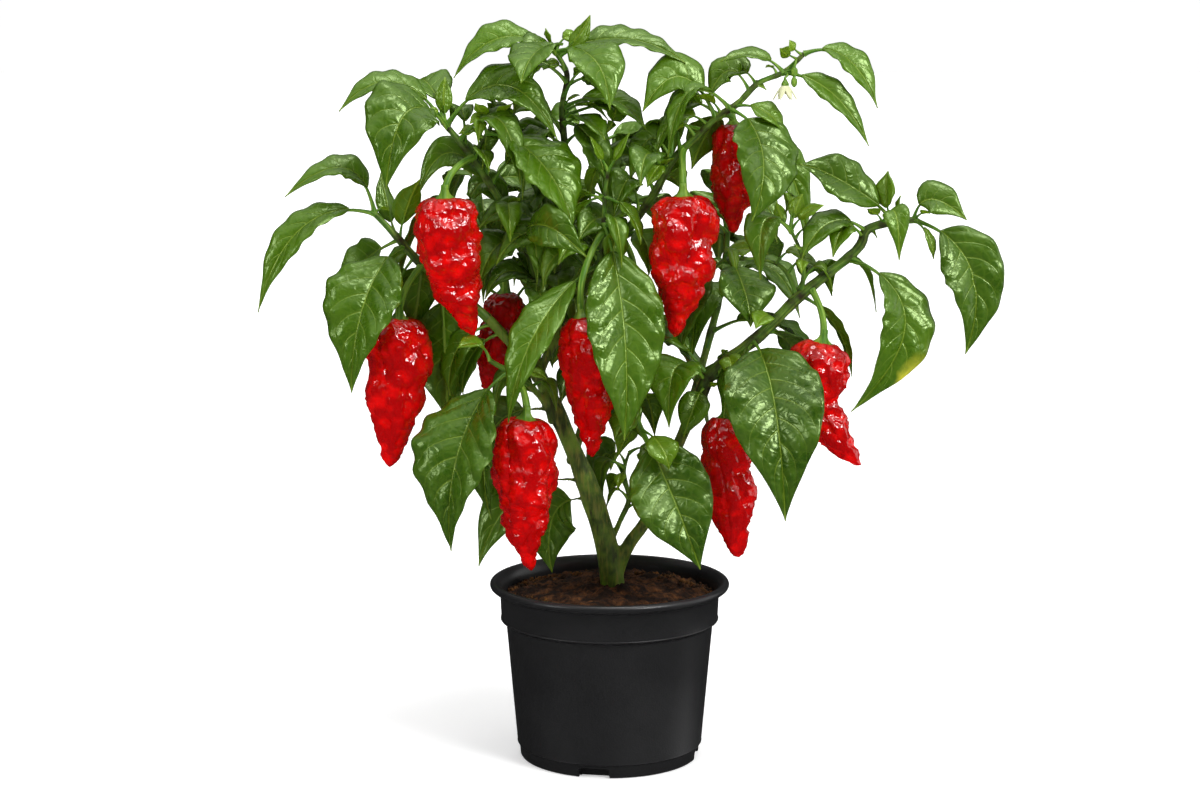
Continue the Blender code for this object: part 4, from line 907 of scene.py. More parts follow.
def stands_clear(leaf, fruits, box):
    """Whether a leaf stays in the box, off the fruit, and out of the way from the front."""
    for t in (0.3, 0.5, 0.7, 0.85, 1.0):
        place = leaf.midrib(t)[0]
        inside = all(lo / MM + 3 < p < hi / MM - 3 for p, lo, hi in zip(place, *box))
        if not inside or place.z < LOWEST_FILLER:
            return False
        x, z = shows_at(place)
        if any(math.hypot(x - gap_x, z - gap_z) < gap + 0.5 * leaf.half
               for gap_x, gap_z, gap in OPEN_GAPS):
            return False
        for fruit in fruits:
            for share in (0.05, 0.3, 0.55, 0.8):
                gap = place - fruit.axis(share)[0]
                reach = gap.length if gap.y > 0 else math.hypot(gap.x, gap.z)
                if reach < fruit.half + 0.5 * leaf.half + 3:
                    return False
    return True


def grown_leaves(rows, habit, first_index, fits):
    """Leaves along the stems, turned by the golden angle from one to the next."""
    leaves = []
    for stem, first, last, count, longest, lift, seed in rows:
        draw = random.Random(seed)
        path = path_of(stem)
        for i in range(count):
            base = on_path(path, first + (last - first) * i / (count - 1)).to_3d()
            size = longest * (1.0 - habit["taper"] * i / count)
            for attempt in range(TRIES):
                angle = GOLDEN_ANGLE * i + draw.uniform(-habit["swing"], habit["swing"])
                angle += attempt * habit["step"]
                out = Vector((math.cos(angle), habit["depth"] * math.sin(angle), 0.0))
                length = size * draw.uniform(*habit["length"]) * (1 - habit["shrink"] * attempt)
                rise = draw.uniform(*habit["rise"]) + 0.3 * lift
                drop = draw.uniform(*habit["drop"]) - lift
                knee = base + (out * 0.42 + UP * rise) * length
                tip = base + (out * 0.80 - UP * drop) * length
                half = length * draw.uniform(*habit["half"])
                roll = draw.uniform(-habit["roll"], habit["roll"])
                leaf = Leaf(stem, base, knee, tip, half, roll, first_index + len(leaves))
                if fits(leaf):
                    leaves.append(leaf.shown() if habit["shown"] and i % 3 else leaf)
                    break
    return leaves


def two_skins(rows, columns):
    """Faces of a thin sheet: its top, the skin below it and the rim, and how many are its top."""
    below = rows * columns
    corners = [i * columns + j for i in range(rows - 1) for j in range(columns - 1)]
    quads = [(k, k + columns, k + columns + 1, k + 1) for k in corners]
    rim = [i * columns for i in range(rows)] + [below - columns + j for j in range(1, columns)]
    rim += [i * columns + columns - 1 for i in range(rows - 2, -1, -1)]
    rim += range(columns - 2, 0, -1)
    faces = [quad[::-1] for quad in quads] + [tuple(below + c for c in quad) for quad in quads]
    faces += [(p, q, below + q, below + p) for p, q in zip(rim, rim[1:] + rim[:1])]
    return faces, len(quads)


def blade_relief(leaf, length, s, side, half, between, ruffles):
    """How far a blade stands off its arch: folded, ruffled, and puckered between its veins."""
    a, n = np.abs(side), leaf.index
    pucker = (0.046 * leaf.half + 0.15) * between * np.sin(np.pi * np.minimum(a * 1.02, 1.0)) ** 0.5
    pucker = pucker * np.minimum(1.0, half / (0.35 * leaf.half))
    x, y = side * half, s * length
    quilt = np.sin(0.85 * x + 0.8 * np.sin(0.5 * y + n))
    quilt = quilt * np.sin(0.8 * y + 0.9 * np.sin(0.6 * x + 2 * n))
    pucker = pucker + 0.011 * leaf.half * quilt * np.minimum(1.0, 3 * a * (1.1 - a))
    fold = LEAF_FOLD * np.maximum(0.0, half - PETIOLE_HALF) * (1.45 * a - 0.45 * a * a)
    t = leaf.blade + (1 - leaf.blade) * s
    wave = LEAF_WAVE * half * np.sin(9.0 * t + 2.4 * n) * side
    ruffle = 0.07 * half * a ** 3 * np.sin(2 * np.pi * ruffles * s + n + 1.9 * np.sign(side))
    return fold + wave + ruffle + pucker - 0.05 * half * a ** 5


def blade_skins(middle, normals, off, s, a, phase):
    """The upper and lower skin: the midrib is a groove above, and the veins are ribs below."""
    out = np.cross(np.gradient(middle, axis=1), np.gradient(middle, axis=0))
    out *= np.sign((out * normals).sum(axis=2, keepdims=True))
    out /= np.maximum(np.linalg.norm(out, axis=2, keepdims=True), 1e-9)
    groove = 0.22 * np.exp(-(off / 0.7) ** 2) * (1 - s)
    rib = (0.75 * (1 - s) + 0.1) * np.exp(-(off / 0.9) ** 2)
    rib = rib + 0.16 * (1 - a) * np.exp(-(np.abs(phase - np.round(phase)) / 0.08) ** 2)
    thin = BLADE_THICK * (1 - 0.4 * a ** 4) / 2
    return middle + out * (thin - groove)[:, :, None], middle - out * (thin + rib)[:, :, None]


def blade_marks(leaf, length, s, side, half, phase, off, draw):
    """What the leaf's skin reads: its veins, a flat map of it, and its tone by height and yellow
    patch.
    """
    youth = min(1.0, max(0.0, (46 - leaf.length) / 40)) * draw.uniform(0.5, 0.9)
    # Lower leaves are darker and higher ones brighter, with a random spread. A yellow patch lies
    # near the end of one margin.
    height_tone = 0.1 + 0.5 * (leaf.tip.z - 130) / 330 + 0.4 * draw.random()
    patch = YELLOWING.get(leaf.index, 0.0) * np.exp(-((s - 0.78) / 0.15) ** 2)
    patch = patch * (side * YELLOW_SIDE > 0.2)
    marks = {"blade": (phase, np.abs(side), off * MM), "traits": (height_tone, youth, patch),
             "flat": (side * half * MM, s * length * MM, leaf.index * 0.11)}
    for name, parts in marks.items():
        parts = np.stack([np.broadcast_to(part, phase.shape) for part in parts], axis=2)
        marks[name] = np.tile(parts.reshape(-1, 3), (2, 1))
    return marks


def blade_shape(leaf, gathered, box):
    """A leaf blade: two skins over a folded, arched and puckered middle surface."""
    length = leaf.length * (1 - leaf.blade)
    step = BLADE_STEP if length > LONG_BLADE else SMALL_BLADE_STEP
    rows = max(8, round(length / step))
    columns = 2 * max(3, round(1.1 * leaf.half / step)) + 1
    draw = random.Random(leaf.index)
    side = np.linspace(-1, 1, columns)
    side = (np.sign(side) * np.abs(side) ** 1.25)[None, :]
    a = np.abs(side)
    s = np.linspace(0, 1, rows)[:, None]
    half = np.array([[max(PETIOLE_HALF * (1 - share) + 0.2 * share, leaf.half_at(share))]
                     for share in s[:, 0]])

    # Side veins leave the midrib in turn, left and right, and arch forward to the margin.
    veins = 4.2 + length / 38
    phase = veins * (s - 0.17 * a - 0.12 * a ** 2.6) + 0.25 * np.sign(side) + 0.4
    between = np.abs(np.sin(np.pi * phase)) ** 0.6
    ruffles = draw.uniform(0.8, 1.2) * (1.5 + length / 22)
    height = blade_relief(leaf, length, s, side, half, between, ruffles)

    stations = (leaf.blade + (1 - leaf.blade) * s)[:, 0].tolist()
    spine = [leaf.spine(station) for station in stations]
    spine = [(place, normal, heading.cross(normal)) for place, heading, normal in spine]
    places, normals, acrosses = (np.array(column)[:, None, :] for column in zip(*spine))
    across = (side * half * (1 - 0.02 * between))[:, :, None]
    off = np.abs(across[:, :, 0])
    middle = places + acrosses * across + normals * height[:, :, None]
    top, bottom = blade_skins(middle, normals, off, s, a, phase)
    # A row of the blade that would stand out of the model's box is moved in.
    lowest, highest = (np.array(corner) / MM for corner in box)
    both = np.concatenate([top, bottom], axis=1)
    shift = np.minimum(0.0, highest - both.max(axis=1)) + np.maximum(0.0, lowest - both.min(axis=1))
    points = np.concatenate([(skin + shift[:, None, :]).reshape(-1, 3) for skin in (top, bottom)])

    faces, upper = two_skins(rows, columns)
    slots = [0] * upper + [1] * (len(faces) - upper)
    gathered.add(points, faces, slots,
                 **blade_marks(leaf, length, s, side, half, phase, off, draw))


# ---- stalks -----------------------------------------------------------------------------
class Lines:
    """Open lines of points with a radius, for the tree that grows them into stalks."""

    def __init__(self):
        self.points, self.edges, self.radii, self.traits = [], [], [], []

    def add(self, rows, tone=0.5, nodes=()):
        """Adds a line of four-part rows. It is dark near the places of its nodes."""
        first = len(self.points)
        for row in rows:
            place = row.to_3d()
            reach = 1.3 * row.w + 1.2
            near = max((math.exp(-((place - node).length / reach) ** 2) for node in nodes),
                       default=0.0)
            self.points.append(place * MM)
            self.radii.append(row.w * (1 + 0.16 * near) * MM)
            self.traits.append((tone, near, 0.0))
        self.edges += [(k, k + 1) for k in range(first, len(self.points) - 1)]

    def mesh(self):
        mesh = bpy.data.meshes.new("lines")
        mesh.from_pydata(self.points, self.edges, [])
        thickness = mesh.attributes.new("thickness", "FLOAT", "POINT")
        thickness.data.foreach_set("value", self.radii)
        write_mark(mesh, "traits", self.traits)
        return mesh


def stalk_tree():
    """Grows lines into ridged stalks: a round profile with long ridges swept along each."""
    tree, given = new_tree("ridged_stalk", {"Sides": "Int", "Ridges": "Int",
                                            "Ridge depth": "Float", "Skin": "Material"})
    store = "GeometryNodeStoreNamedAttribute"
    lines = add(tree, "GeometryNodeMeshToCurve", [given["Source"]])
    length = add(tree, "GeometryNodeSplineParameter").outputs["Length"]
    lines = add(tree, store, {0: lines, "Name": "along", "Value": length},
                data_type="FLOAT", domain="POINT")
    circle = add(tree, "GeometryNodeCurvePrimitiveCircle",
                 {"Resolution": given["Sides"], "Radius": 1.0})
    index = add(tree, "GeometryNodeInputIndex")
    turn = add(tree, "ShaderNodeMath", [index, given["Sides"]], operation="DIVIDE")
    circle = add(tree, store, {0: circle, "Name": "around", "Value": turn},
                 data_type="FLOAT", domain="POINT")
    angle = add(tree, "ShaderNodeMath", [turn, 2 * math.pi], operation="MULTIPLY")
    waves = add(tree, "ShaderNodeMath", [angle, given["Ridges"]], operation="MULTIPLY")
    ridge = add(tree, "ShaderNodeMath", [waves], operation="COSINE")
    depth = add(tree, "ShaderNodeMath", [ridge, given["Ridge depth"]], operation="MULTIPLY")
    place = add(tree, "GeometryNodeInputPosition")
    offset = add(tree, "ShaderNodeVectorMath", {0: place, "Scale": depth}, operation="SCALE")
    circle = add(tree, "GeometryNodeSetPosition", {0: circle, "Offset": offset})
    thickness, around, along = (
        add(tree, "GeometryNodeInputNamedAttribute", {"Name": name}, data_type="FLOAT")
        for name in ("thickness", "around", "along"))
    swept = add(tree, "GeometryNodeCurveToMesh", {"Curve": lines, "Profile Curve": circle,
                                                  "Scale": thickness, "Fill Caps": True})
    girth = add(tree, "ShaderNodeMath", [thickness, 2 * math.pi], operation="MULTIPLY")
    girth = add(tree, "ShaderNodeMath", [girth, around], operation="MULTIPLY")
    flat = add(tree, "ShaderNodeCombineXYZ", [girth, along])
    marked = add(tree, store, {0: swept, "Name": "flat", "Value": flat},
                 data_type="FLOAT_VECTOR", domain="POINT")
    finish_tree(tree, marked, given["Skin"])
    return tree


def stem_rows(path, first, last):
    """Rows about STALK_STEP apart along a path, from row first to row last."""
    rows = [on_path(path, first)]
    for i in range(int(first), math.ceil(last)):
        lo, hi = max(i, first), min(i + 1, last)
        length = (on_path(path, hi) - on_path(path, lo)).to_3d().length
        count = max(2, round(length / STALK_STEP))
        rows += [on_path(path, lo + (hi - lo) * k / count) for k in range(1, count + 1)]
    return rows


def petiole_rows(leaf):
    """The leaf's stalk: swollen where it leaves the stem, and on under the blade as a rib."""
    rows = []
    reach = leaf.blade + 0.2 * (1 - leaf.blade)
    slim = min(1.0, 0.55 + leaf.length / 150)
    for k in range(11):
        t = reach * k / 10
        place, _, normal = leaf.spine(t)
        sink = 0.75 * min(1.0, t / leaf.blade) * normal
        radius = slim * (1.25 + 0.75 * math.exp(-t * leaf.length / 2.0) - 0.75 * t / reach)
        rows.append(Vector((*(place - sink), radius)))
    return rows


# ---- fruits -----------------------------------------------------------------------------
class Fruit:
    """One fruit: its axis is a bent line from the calyx to the tip."""

    def __init__(self, name, row):
        stem, self.row, top, tip, width, self.bend, self.shape = row
        self.name, self.stem = name, stem
        self.top, self.tip, self.half = seen(*top), seen(*tip), width / 2
        self.number = int(name.rpartition("_")[2])
        self.length = (self.tip - self.top).length

    def axis(self, t):
        """Place and heading a share t down the fruit."""
        side = (self.tip - self.top).cross(Vector((0, 1, 0))).normalized() * self.bend
        return bowed(self.top, (self.top + self.tip) / 2 + side * 2, self.tip, t)

    def swell(self, share, angle):
        """How far the skin bulges: four long lobes with coarse wrinkles across them."""
        n = self.number
        lobes = 0.5 * math.cos(4 * angle + n + 2.0 * share)
        wrinkles = math.sin(21.0 * share + 2.0 * math.sin(2 * angle + n)) \
            + 0.7 * math.sin(13.0 * share + 3 * angle + 2 * n)
        fade = min(1.0, 6.0 * share)
        furrow = (1 - abs(math.sin(2 * angle + 0.5 * n + 0.5 * math.sin(5 * share + n)))) ** 3
        bulges = noise.noise(Vector((1.1 * math.cos(angle), 1.1 * math.sin(angle),
                                     5.2 * share + 7.3 * n)))
        return 0.94 + 0.24 * fade * bulges \
            + FRUIT_BUMPS * (lobes + 0.5 * fade * wrinkles - 2.2 * furrow * (1 - share))


def ring_mesh(name, rings, turned=False):
    """A closed mesh through rings of points; the end rings shrink to a point."""
    rings = np.array(rings)
    count, sides = rings.shape[:2]
    inner = rings[1:-1].reshape(-1, 3)
    neighbours = [(j, (j + 1) % sides) for j in range(sides)]
    faces = [(i * sides + j, i * sides + k, (i + 1) * sides + k, (i + 1) * sides + j)
             for i in range(count - 3) for j, k in neighbours]
    first, last, end = len(inner), len(inner) + 1, (count - 3) * sides
    for j, k in neighbours:
        faces += [(first, k, j), (last, end + j, end + k)]
    surface = Gathered()
    surface.add(np.concatenate([inner, rings[:1, 0], rings[-1:, 0]]),
                [face[::-1] for face in faces] if turned else faces)
    return surface.mesh(name)


def domes(place, size):
    """Round blisters about a size apart: 1 at the top of one, 0 in the creases between them."""
    gaps, _ = noise.voronoi(place / size)
    near = -math.log(sum(math.exp(-16.0 * gap) for gap in gaps)) / 16.0
    return 1.0 - min(1.0, max(0.0, near) / 0.56) ** 2


def wrinkled(fruit, place, fade):
    """How far the blisters raise the skin at a place, and how deep in a crease it is, which the
    skin darkens as painted shade.
    """
    shift = Vector((41.0 * fruit.number, 0.0, 0.0))
    drift = [noise.noise(place / 8.0 + shift + Vector((0.0, 0.0, 9.0 * k))) for k in range(3)]
    bent = place + 2.4 * Vector(drift) + shift
    squat = Vector((bent.x, bent.y, bent.z * WRINKLE_WIDE / WRINKLE_TALL))
    coarse, fine = domes(squat, WRINKLE_WIDE), domes(squat, WRINKLE_WIDE * 0.45)
    swell = noise.noise(place / 12.0 + shift)
    folds = 1 - abs(noise.noise(Vector((bent.x / 11.0, bent.y / 11.0, bent.z / 6.5)))) * 2.8
    raised = 2.0 * coarse + 1.2 * fine + 1.0 * swell - 0.7 * max(0.0, folds) ** 2 - 1.9
    return fade * raised, min(1.0, (1 - coarse) ** 2 + 0.5 * max(0.0, folds) ** 3)


def fruit_mesh(fruit):
    profile = [Vector(pair) for pair in FRUIT_SHAPES[fruit.shape]]
    steps = (len(profile) - 1) * FRUIT_RINGS_PER_ROW
    angles = [2 * math.pi * j / FRUIT_AROUND for j in range(FRUIT_AROUND)]
    rings, shares = [], []
    for i in range(steps + 1):
        share, width = on_path(profile, i / FRUIT_RINGS_PER_ROW)
        place, heading = fruit.axis(max(0.0, share))
        if share < 0:
            place = place + heading * share * fruit.length
        sideways = heading.cross(Vector((0, 1, 0))).normalized()
        ahead = sideways.cross(heading)
        width = max(0.0, width) * fruit.half
        rings.append([place + (sideways * math.cos(angle) + ahead * math.sin(angle))
                      * width * fruit.swell(share, angle) for angle in angles])
        shares.append(share)
    mesh = ring_mesh(fruit.name, rings)
    normals = [v.normal.copy() for v in mesh.vertices]
    shares = np.repeat(shares[1:-1], FRUIT_AROUND).tolist() + [0.0, 1.0]
    marks = []
    for v, normal, share in zip(mesh.vertices, normals, shares):
        fade = min(1.0, 0.35 + 6.0 * max(0.0, share)) * min(1.0, 0.4 + 3.0 * (1 - share))
        raised, crease_shade = wrinkled(fruit, v.co / MM - fruit.top, fade)
        v.co += normal * raised * MM
        # The crease depth is kept for the skin's painted shade, and so is a fruit's share of
        # painted shadow.
        marks.append((0.65 * crease_shade, share, PAINTED_SHADE_FRUITS.get(fruit.name, 0.0)))
    write_mark(mesh, "traits", marks)
    return mesh


def calyx_mesh(fruit):
    """The green cap: a ribbed cone that flares from the stalk onto the fruit's shoulders."""
    reach = min(CALYX_RADIUS, fruit.half * 0.40)
    profile = [(9.5, 0.0), (9.5, 0.30), (7.0, 0.32), (5.0, 0.38), (3.2, 0.52), (1.9, 0.74),
               (0.9, 0.95), (0.2, 1.04), (-0.9, 1.0), (-1.0, 0.0)]
    _, heading = fruit.axis(0.0)
    turn = UP.rotation_difference(-heading).to_matrix()
    rings = []
    for height, share in profile:
        flare = max(0.0, min(1.0, (5.0 - height) / 4.0))
        ring = []
        for j in range(CALYX_AROUND):
            angle = 2 * math.pi * j / CALYX_AROUND
            lobe = math.cos(5 * angle + fruit.number)
            radius = reach * share * (1 + (0.05 + 0.09 * flare) * lobe)
            drop = 0.7 * flare * lobe if share > 0.8 else 0.0
            ring.append(turn @ Vector((radius * math.cos(angle), radius * math.sin(angle),
                                       height - drop)) + fruit.top)
        rings.append(ring)
    mesh = ring_mesh(fruit.name, rings, turned=True)
    write_mark(mesh, "flat", [v.co for v in mesh.vertices])
    write_mark(mesh, "traits", [(0.75, 0.0, 0.0)] * len(mesh.vertices))
    return mesh


def peduncle_rows(fruit):
    """The fruit's stalk: out of the stem, over, and down into the calyx."""
    base = on_path(path_of(fruit.stem), fruit.row).to_3d()
    _, heading = fruit.axis(0.0)
    end = fruit.top - heading * 2.5
    shoulder = end - heading * (end - base).length * 0.45
    rows = []
    for i in range(17):
        t = i / 16
        place, _ = bowed(base, shoulder, end, t)
        collar = 0.5 * math.exp(-t * 12.0)
        rows.append(Vector((*place, PEDUNCLE_RADIUS * (0.9 + 0.25 * t + collar))))
    return rows


# ---- flower and buds --------------------------------------------------------------------
def flower_lines(lines):
    """The flower's stalk, its cup and two buds, at the end of the upper right stem."""
    path = path_of("upper_right")
    base, top = on_path(path, 10.0).to_3d(), seen(*FLOWER_TOP)
    bow = (base + top) / 2 + Vector((1.5, -2.0, 2.0))
    shoots = [(0.5, [(base, 1.2), (bow, 0.8), (top + UP * 4.5, 0.75), (top + UP * 3.0, 1.0),
                     (top + UP * 1.6, 1.9), (top + UP * 0.4, 2.3), (top - UP * 0.6, 2.2)])]
    for row, middle, end in BUDS:
        start, neck, foot = on_path(path, row).to_3d(), seen(*middle), seen(*end)
        shoots.append((0.8, [(start, 1.0), (neck, 0.75), (foot, 0.8), (foot - UP * 1.5, 1.8),
                             (foot - UP * 4.0, 2.0), (foot - UP * 5.6, 1.2),
                             (foot - UP * 6.4, 0.3)]))
    for tone, rows in shoots:
        rows = [Vector((*place, radius)) for place, radius in rows]
        lines.add(stem_rows(rows, 0, len(rows) - 1), tone)


def petal_mesh():
    """One petal: it springs from the cup, bends down and curls back at its pointed tip."""
    rows, columns = 15, 9
    points = []
    for i in range(rows):
        s = i / (rows - 1)
        half = 2.25 * math.sin(math.pi * min(1.0, 0.16 + 0.84 * s)) ** 0.8 * (1 - 0.25 * s) + 0.1
        out = 1.2 + 6.3 * s - 0.7 * s * s
        for j in range(columns):
            a = 2 * j / (columns - 1) - 1
            points.append((out - 0.5 * a * a, a * half, -8.6 * s ** 1.25 - 0.35 * a * a
                           + 1.1 * max(0.0, s - 0.7)))
    top = np.array(points)
    faces, _ = two_skins(rows, columns)
    petal = Gathered()
    petal.add(np.concatenate([top, top - (0.05, 0.0, 0.3)]), [face[::-1] for face in faces])
    return petal.mesh("petal")


def anther_mesh():
    """One stamen: a thin filament with a long anther hanging from it."""
    profile = [(0.4, 0.0), (0.4, 0.22), (2.6, 0.2), (3.0, 0.65), (4.6, 0.75), (5.4, 0.5),
               (5.6, 0.0)]
    rings = [[(0.9 + 0.12 * drop + radius * math.cos(math.pi * j / 4),
               radius * math.sin(math.pi * j / 4), -drop) for j in range(8)]
             for drop, radius in profile]
    return ring_mesh("anther", rings, turned=True)


def whorl_tree():
    """Repeats a part of the flower round its middle."""
    tree, given = new_tree("whorl", {"Count": "Int", "Spread": "Float", "Place": "Vector",
                                     "Skin": "Material"})
    ring = add(tree, "GeometryNodeMeshCircle",
               {"Vertices": given["Count"], "Radius": given["Spread"]})
    index = add(tree, "GeometryNodeInputIndex")
    turn = add(tree, "ShaderNodeMath", [index, given["Count"]], operation="DIVIDE")
    turn = add(tree, "ShaderNodeMath", [turn, 2 * math.pi], operation="MULTIPLY")
    spin = add(tree, "ShaderNodeCombineXYZ", {2: turn})
    whorl = add(tree, "GeometryNodeInstanceOnPoints",
                {"Points": ring, "Instance": given["Source"], "Rotation": spin})
    moved = add(tree, "GeometryNodeTransform", {0: whorl, "Translation": given["Place"]})
    finish_tree(tree, moved, given["Skin"])
    return tree


# ---- soil -------------------------------------------------------------------------------
def soil_height(x, y):
    """The crumbly top of the soil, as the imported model's lumps with finer ones on them."""
    radius = math.hypot(x, y)
    top = [(0.0, SOIL_TOP[0][1]), *SOIL_TOP]
    level = float(np.interp(radius, [r for r, z in top], [z for r, z in top]))
    lump = math.sin(0.23 * x + 1.3) * math.sin(0.19 * y) + 0.6 * math.sin(0.31 * y - 0.2 * x)
    place = Vector((x, y, 0.0))
    clods = noise.fractal(place / 8.0, 1.0, 2.0, 3) + 0.9 * abs(noise.noise(place / 3.0))
    mound = 4.0 * math.exp(-((x - 2.0) ** 2 + y * y) / 260.0)
    return level + SOIL_LUMPS * lump + 2.1 * clods + mound - 1.0


def soil_mesh():
    """A bed of soil: rings from its middle out to the pot's wall, and its hidden sides."""
    turns = [2 * math.pi * j / SOIL_AROUND for j in range(SOIL_AROUND)]
    open_top = [(max(0.05, SOIL_TOP[-1][0] * i / SOIL_RINGS), None) for i in range(SOIL_RINGS + 1)]
    rings = []
    for radius, level in [*open_top, *SOIL_SIDE, (0.0, SOIL_SIDE[-1][1])]:
        ring = [(radius * math.cos(turn), radius * math.sin(turn)) for turn in turns]
        rings.append([(x, y, soil_height(x, y) if level is None else level) for x, y in ring])
    return ring_mesh("soil", rings, turned=True)


def litter_tree():
    """Scatters rough crumbs, or thin bent fibres, over a bed."""
    tree, given = new_tree("litter", {"Density": "Float", "Smallest": "Float", "Largest": "Float",
                                      "Shape": "Vector", "Roundness": "Int", "Seed": "Int",
                                      "Skin": "Material"})
    spots = add(tree, "GeometryNodeDistributePointsOnFaces",
                {0: given["Source"], "Density": given["Density"], "Seed": given["Seed"]})
    ball = add(tree, "GeometryNodeMeshIcoSphere",
               {"Radius": 1.0, "Subdivisions": given["Roundness"]})
    knobs = add(tree, "ShaderNodeTexNoise", {"Scale": 1.3, "Detail": 2.0})
    knobs = add(tree, "ShaderNodeVectorMath", [knobs.outputs["Color"], (0.5, 0.5, 0.5)],
                operation="SUBTRACT")
    rough = add(tree, "GeometryNodeSetPosition", {0: ball, "Offset": knobs})
    shaped = add(tree, "GeometryNodeTransform", {0: rough, "Scale": given["Shape"]})
    spin = add(tree, "FunctionNodeRandomValue", {1: (6.3, 6.3, 6.3), "Seed": given["Seed"]},
               data_type="FLOAT_VECTOR")
    size = add(tree, "FunctionNodeRandomValue",
               {2: given["Smallest"], 3: given["Largest"], "Seed": given["Seed"]})
    litter = add(tree, "GeometryNodeInstanceOnPoints",
                 {"Points": spots, "Instance": shaped, "Rotation": spin, "Scale": size})
    finish_tree(tree, litter, given["Skin"])
    return tree


def soil_top_mesh():
    """Only the open top of the soil, clear of the trunk and the pot's wall."""
    bm = bmesh.new()
    bmesh.ops.create_circle(bm, cap_ends=True, segments=64, radius=64.5)
    bmesh.ops.triangulate(bm, faces=bm.faces)
    bmesh.ops.subdivide_edges(bm, edges=bm.edges, cuts=5)
    near_trunk = [v for v in bm.verts if math.hypot(v.co.x, v.co.y) < 7.0]
    bmesh.ops.delete(bm, geom=near_trunk, context="VERTS")
    for v in bm.verts:
        v.co = Vector((v.co.x, v.co.y, soil_height(v.co.x, v.co.y))) * MM
    return finished(bm, "soil_top")


# ---- pot --------------------------------------------------------------------------------
def arc(centre, radius, first, last, steps):
    """Points of a quarter or half round in a profile, angles in degrees."""
    angles = [math.radians(first + (last - first) * k / steps) for k in range(steps + 1)]
    return [(centre[0] + radius * math.cos(a), centre[1] + radius * math.sin(a)) for a in angles]


def notch_cutter(angle):
    """A bevelled block that cuts one drain notch into the foot."""
    bm = bmesh.new()
    bmesh.ops.create_cube(bm, size=1.0)
    bmesh.ops.scale(bm, verts=bm.verts,
                    vec=Vector((NOTCH_REACH, NOTCH_WIDTH, 2 * NOTCH_HEIGHT)) * MM)
    bmesh.ops.bevel(bm, geom=bm.edges, offset=1.2 * MM, segments=3, affect="EDGES")
    cutter = put("notch_cutter", finished(bm, "notch"))
    cutter.location = Matrix.Rotation(angle, 3, "Z") @ Vector((55.6 * MM, 0, 0))
    cutter.rotation_euler.z = angle
    return cutter


def pot_mesh():
    """The moulded pot: a turned profile with a rolled rim, a stepped collar and a foot ring."""
    inside = [(0.0, 7.6), (55.8, 7.6), (56.4, 8.2), (63.2, 85.4),
              (64.4, 86.8), (66.0, 88.0), (66.3, 89.2), (67.1, 104.4), (67.7, 107.2),
              (69.0, 109.6), (70.6, 111.2)]
    rim = arc((72.4, 109.4), 2.6, 118, -62, 12)
    bead = arc((67.85, 88.0), 0.6, 75, -75, 6)
    collar = [(72.6, 106.4), (71.2, 106.0), (69.4, 105.7), (68.7, 105.0), (67.98, 89.2),
              *bead, (67.3, 86.9), (66.3, 86.2), (65.3, 86.0), (64.9, 85.4)]
    body = [(64.85, 84.8), (58.15, 9.4), (58.3, 8.9), (57.9, 8.3), (57.0, 8.0), (56.85, 7.6),
            (56.3, 0.9), (55.9, 0.25), (55.3, 0.0), (0.0, 0.0)]
    bm = bmesh.new()
    verts = [bm.verts.new((r * MM, 0.0, z * MM)) for r, z in inside + rim + collar + body]
    for a, b in zip(verts, verts[1:]):
        bm.edges.new((a, b))
    pot = put("pot_blank", finished(bm, "pot"))
    screw = pot.modifiers.new("turn", "SCREW")
    screw.steps = screw.render_steps = POT_AROUND
    screw.use_merge_vertices = True
    screw.merge_threshold = 0.01 * MM
    cutters = [notch_cutter(NOTCH_TURN + i * 2 * math.pi / NOTCHES) for i in range(NOTCHES)]
    for cutter in cutters:
        boolean = pot.modifiers.new("cut", "BOOLEAN")
        boolean.operation = "DIFFERENCE"
        boolean.object = cutter
    made = applied(pot, *cutters)
    made.shade_smooth()
    made.set_sharp_from_angle(angle=math.radians(50))
    return made


# ---- studio -----------------------------------------------------------------------------
def place_camera():
    camera = put("camera", bpy.data.cameras.new("camera"))
    camera.data.lens = LENS
    camera.data.sensor_width = 36.0
    camera.data.clip_end = 200.0
    camera.location = EYE * MM
    camera.rotation_euler = (math.radians(EYE_TILT), 0.0, 0.0)
    bpy.context.scene.camera = camera


def sun(name, direction, power, spread, glint=True):
    """A distant soft lamp that shines along a direction; its spread is its width in degrees."""
    lamp = put(name, bpy.data.lights.new(name, "SUN"))
    lamp.data.energy = power
    lamp.data.angle = math.radians(spread)
    lamp.location = -Vector(direction)
    lamp.rotation_euler = Vector(direction).to_track_quat("-Z", "Y").to_euler()
    lamp.visible_glossy = glint


def build_studio():
    """A wide pale floor inside a pale round backdrop."""
    bm = bmesh.new()
    bmesh.ops.create_circle(bm, cap_ends=True, segments=96, radius=STUDIO_RADIUS)
    floor_mesh = finished(bm.copy(), "floor")
    rim = bmesh.ops.extrude_edge_only(bm, edges=[e for e in bm.edges if e.is_boundary])["geom"]
    walls = [v for v in rim if isinstance(v, bmesh.types.BMVert)]
    bmesh.ops.translate(bm, verts=walls, vec=(0.0, 0.0, STUDIO_HEIGHT))
    bmesh.ops.delete(bm, geom=[f for f in bm.faces if abs(f.normal.z) > 0.5], context="FACES")
    wall_mesh = finished(bm, "backdrop")
    floor_mesh.materials.append(studio_floor())
    wall_mesh.materials.append(studio_backdrop())
    for mesh in (floor_mesh, wall_mesh):
        surface = put(mesh.name, mesh)
        surface.location.z = -0.2 * MM
        # Black flags round the plant keep the white surfaces out of its gloss.
        surface.visible_glossy = False
    surface.visible_diffuse = surface.visible_shadow = False


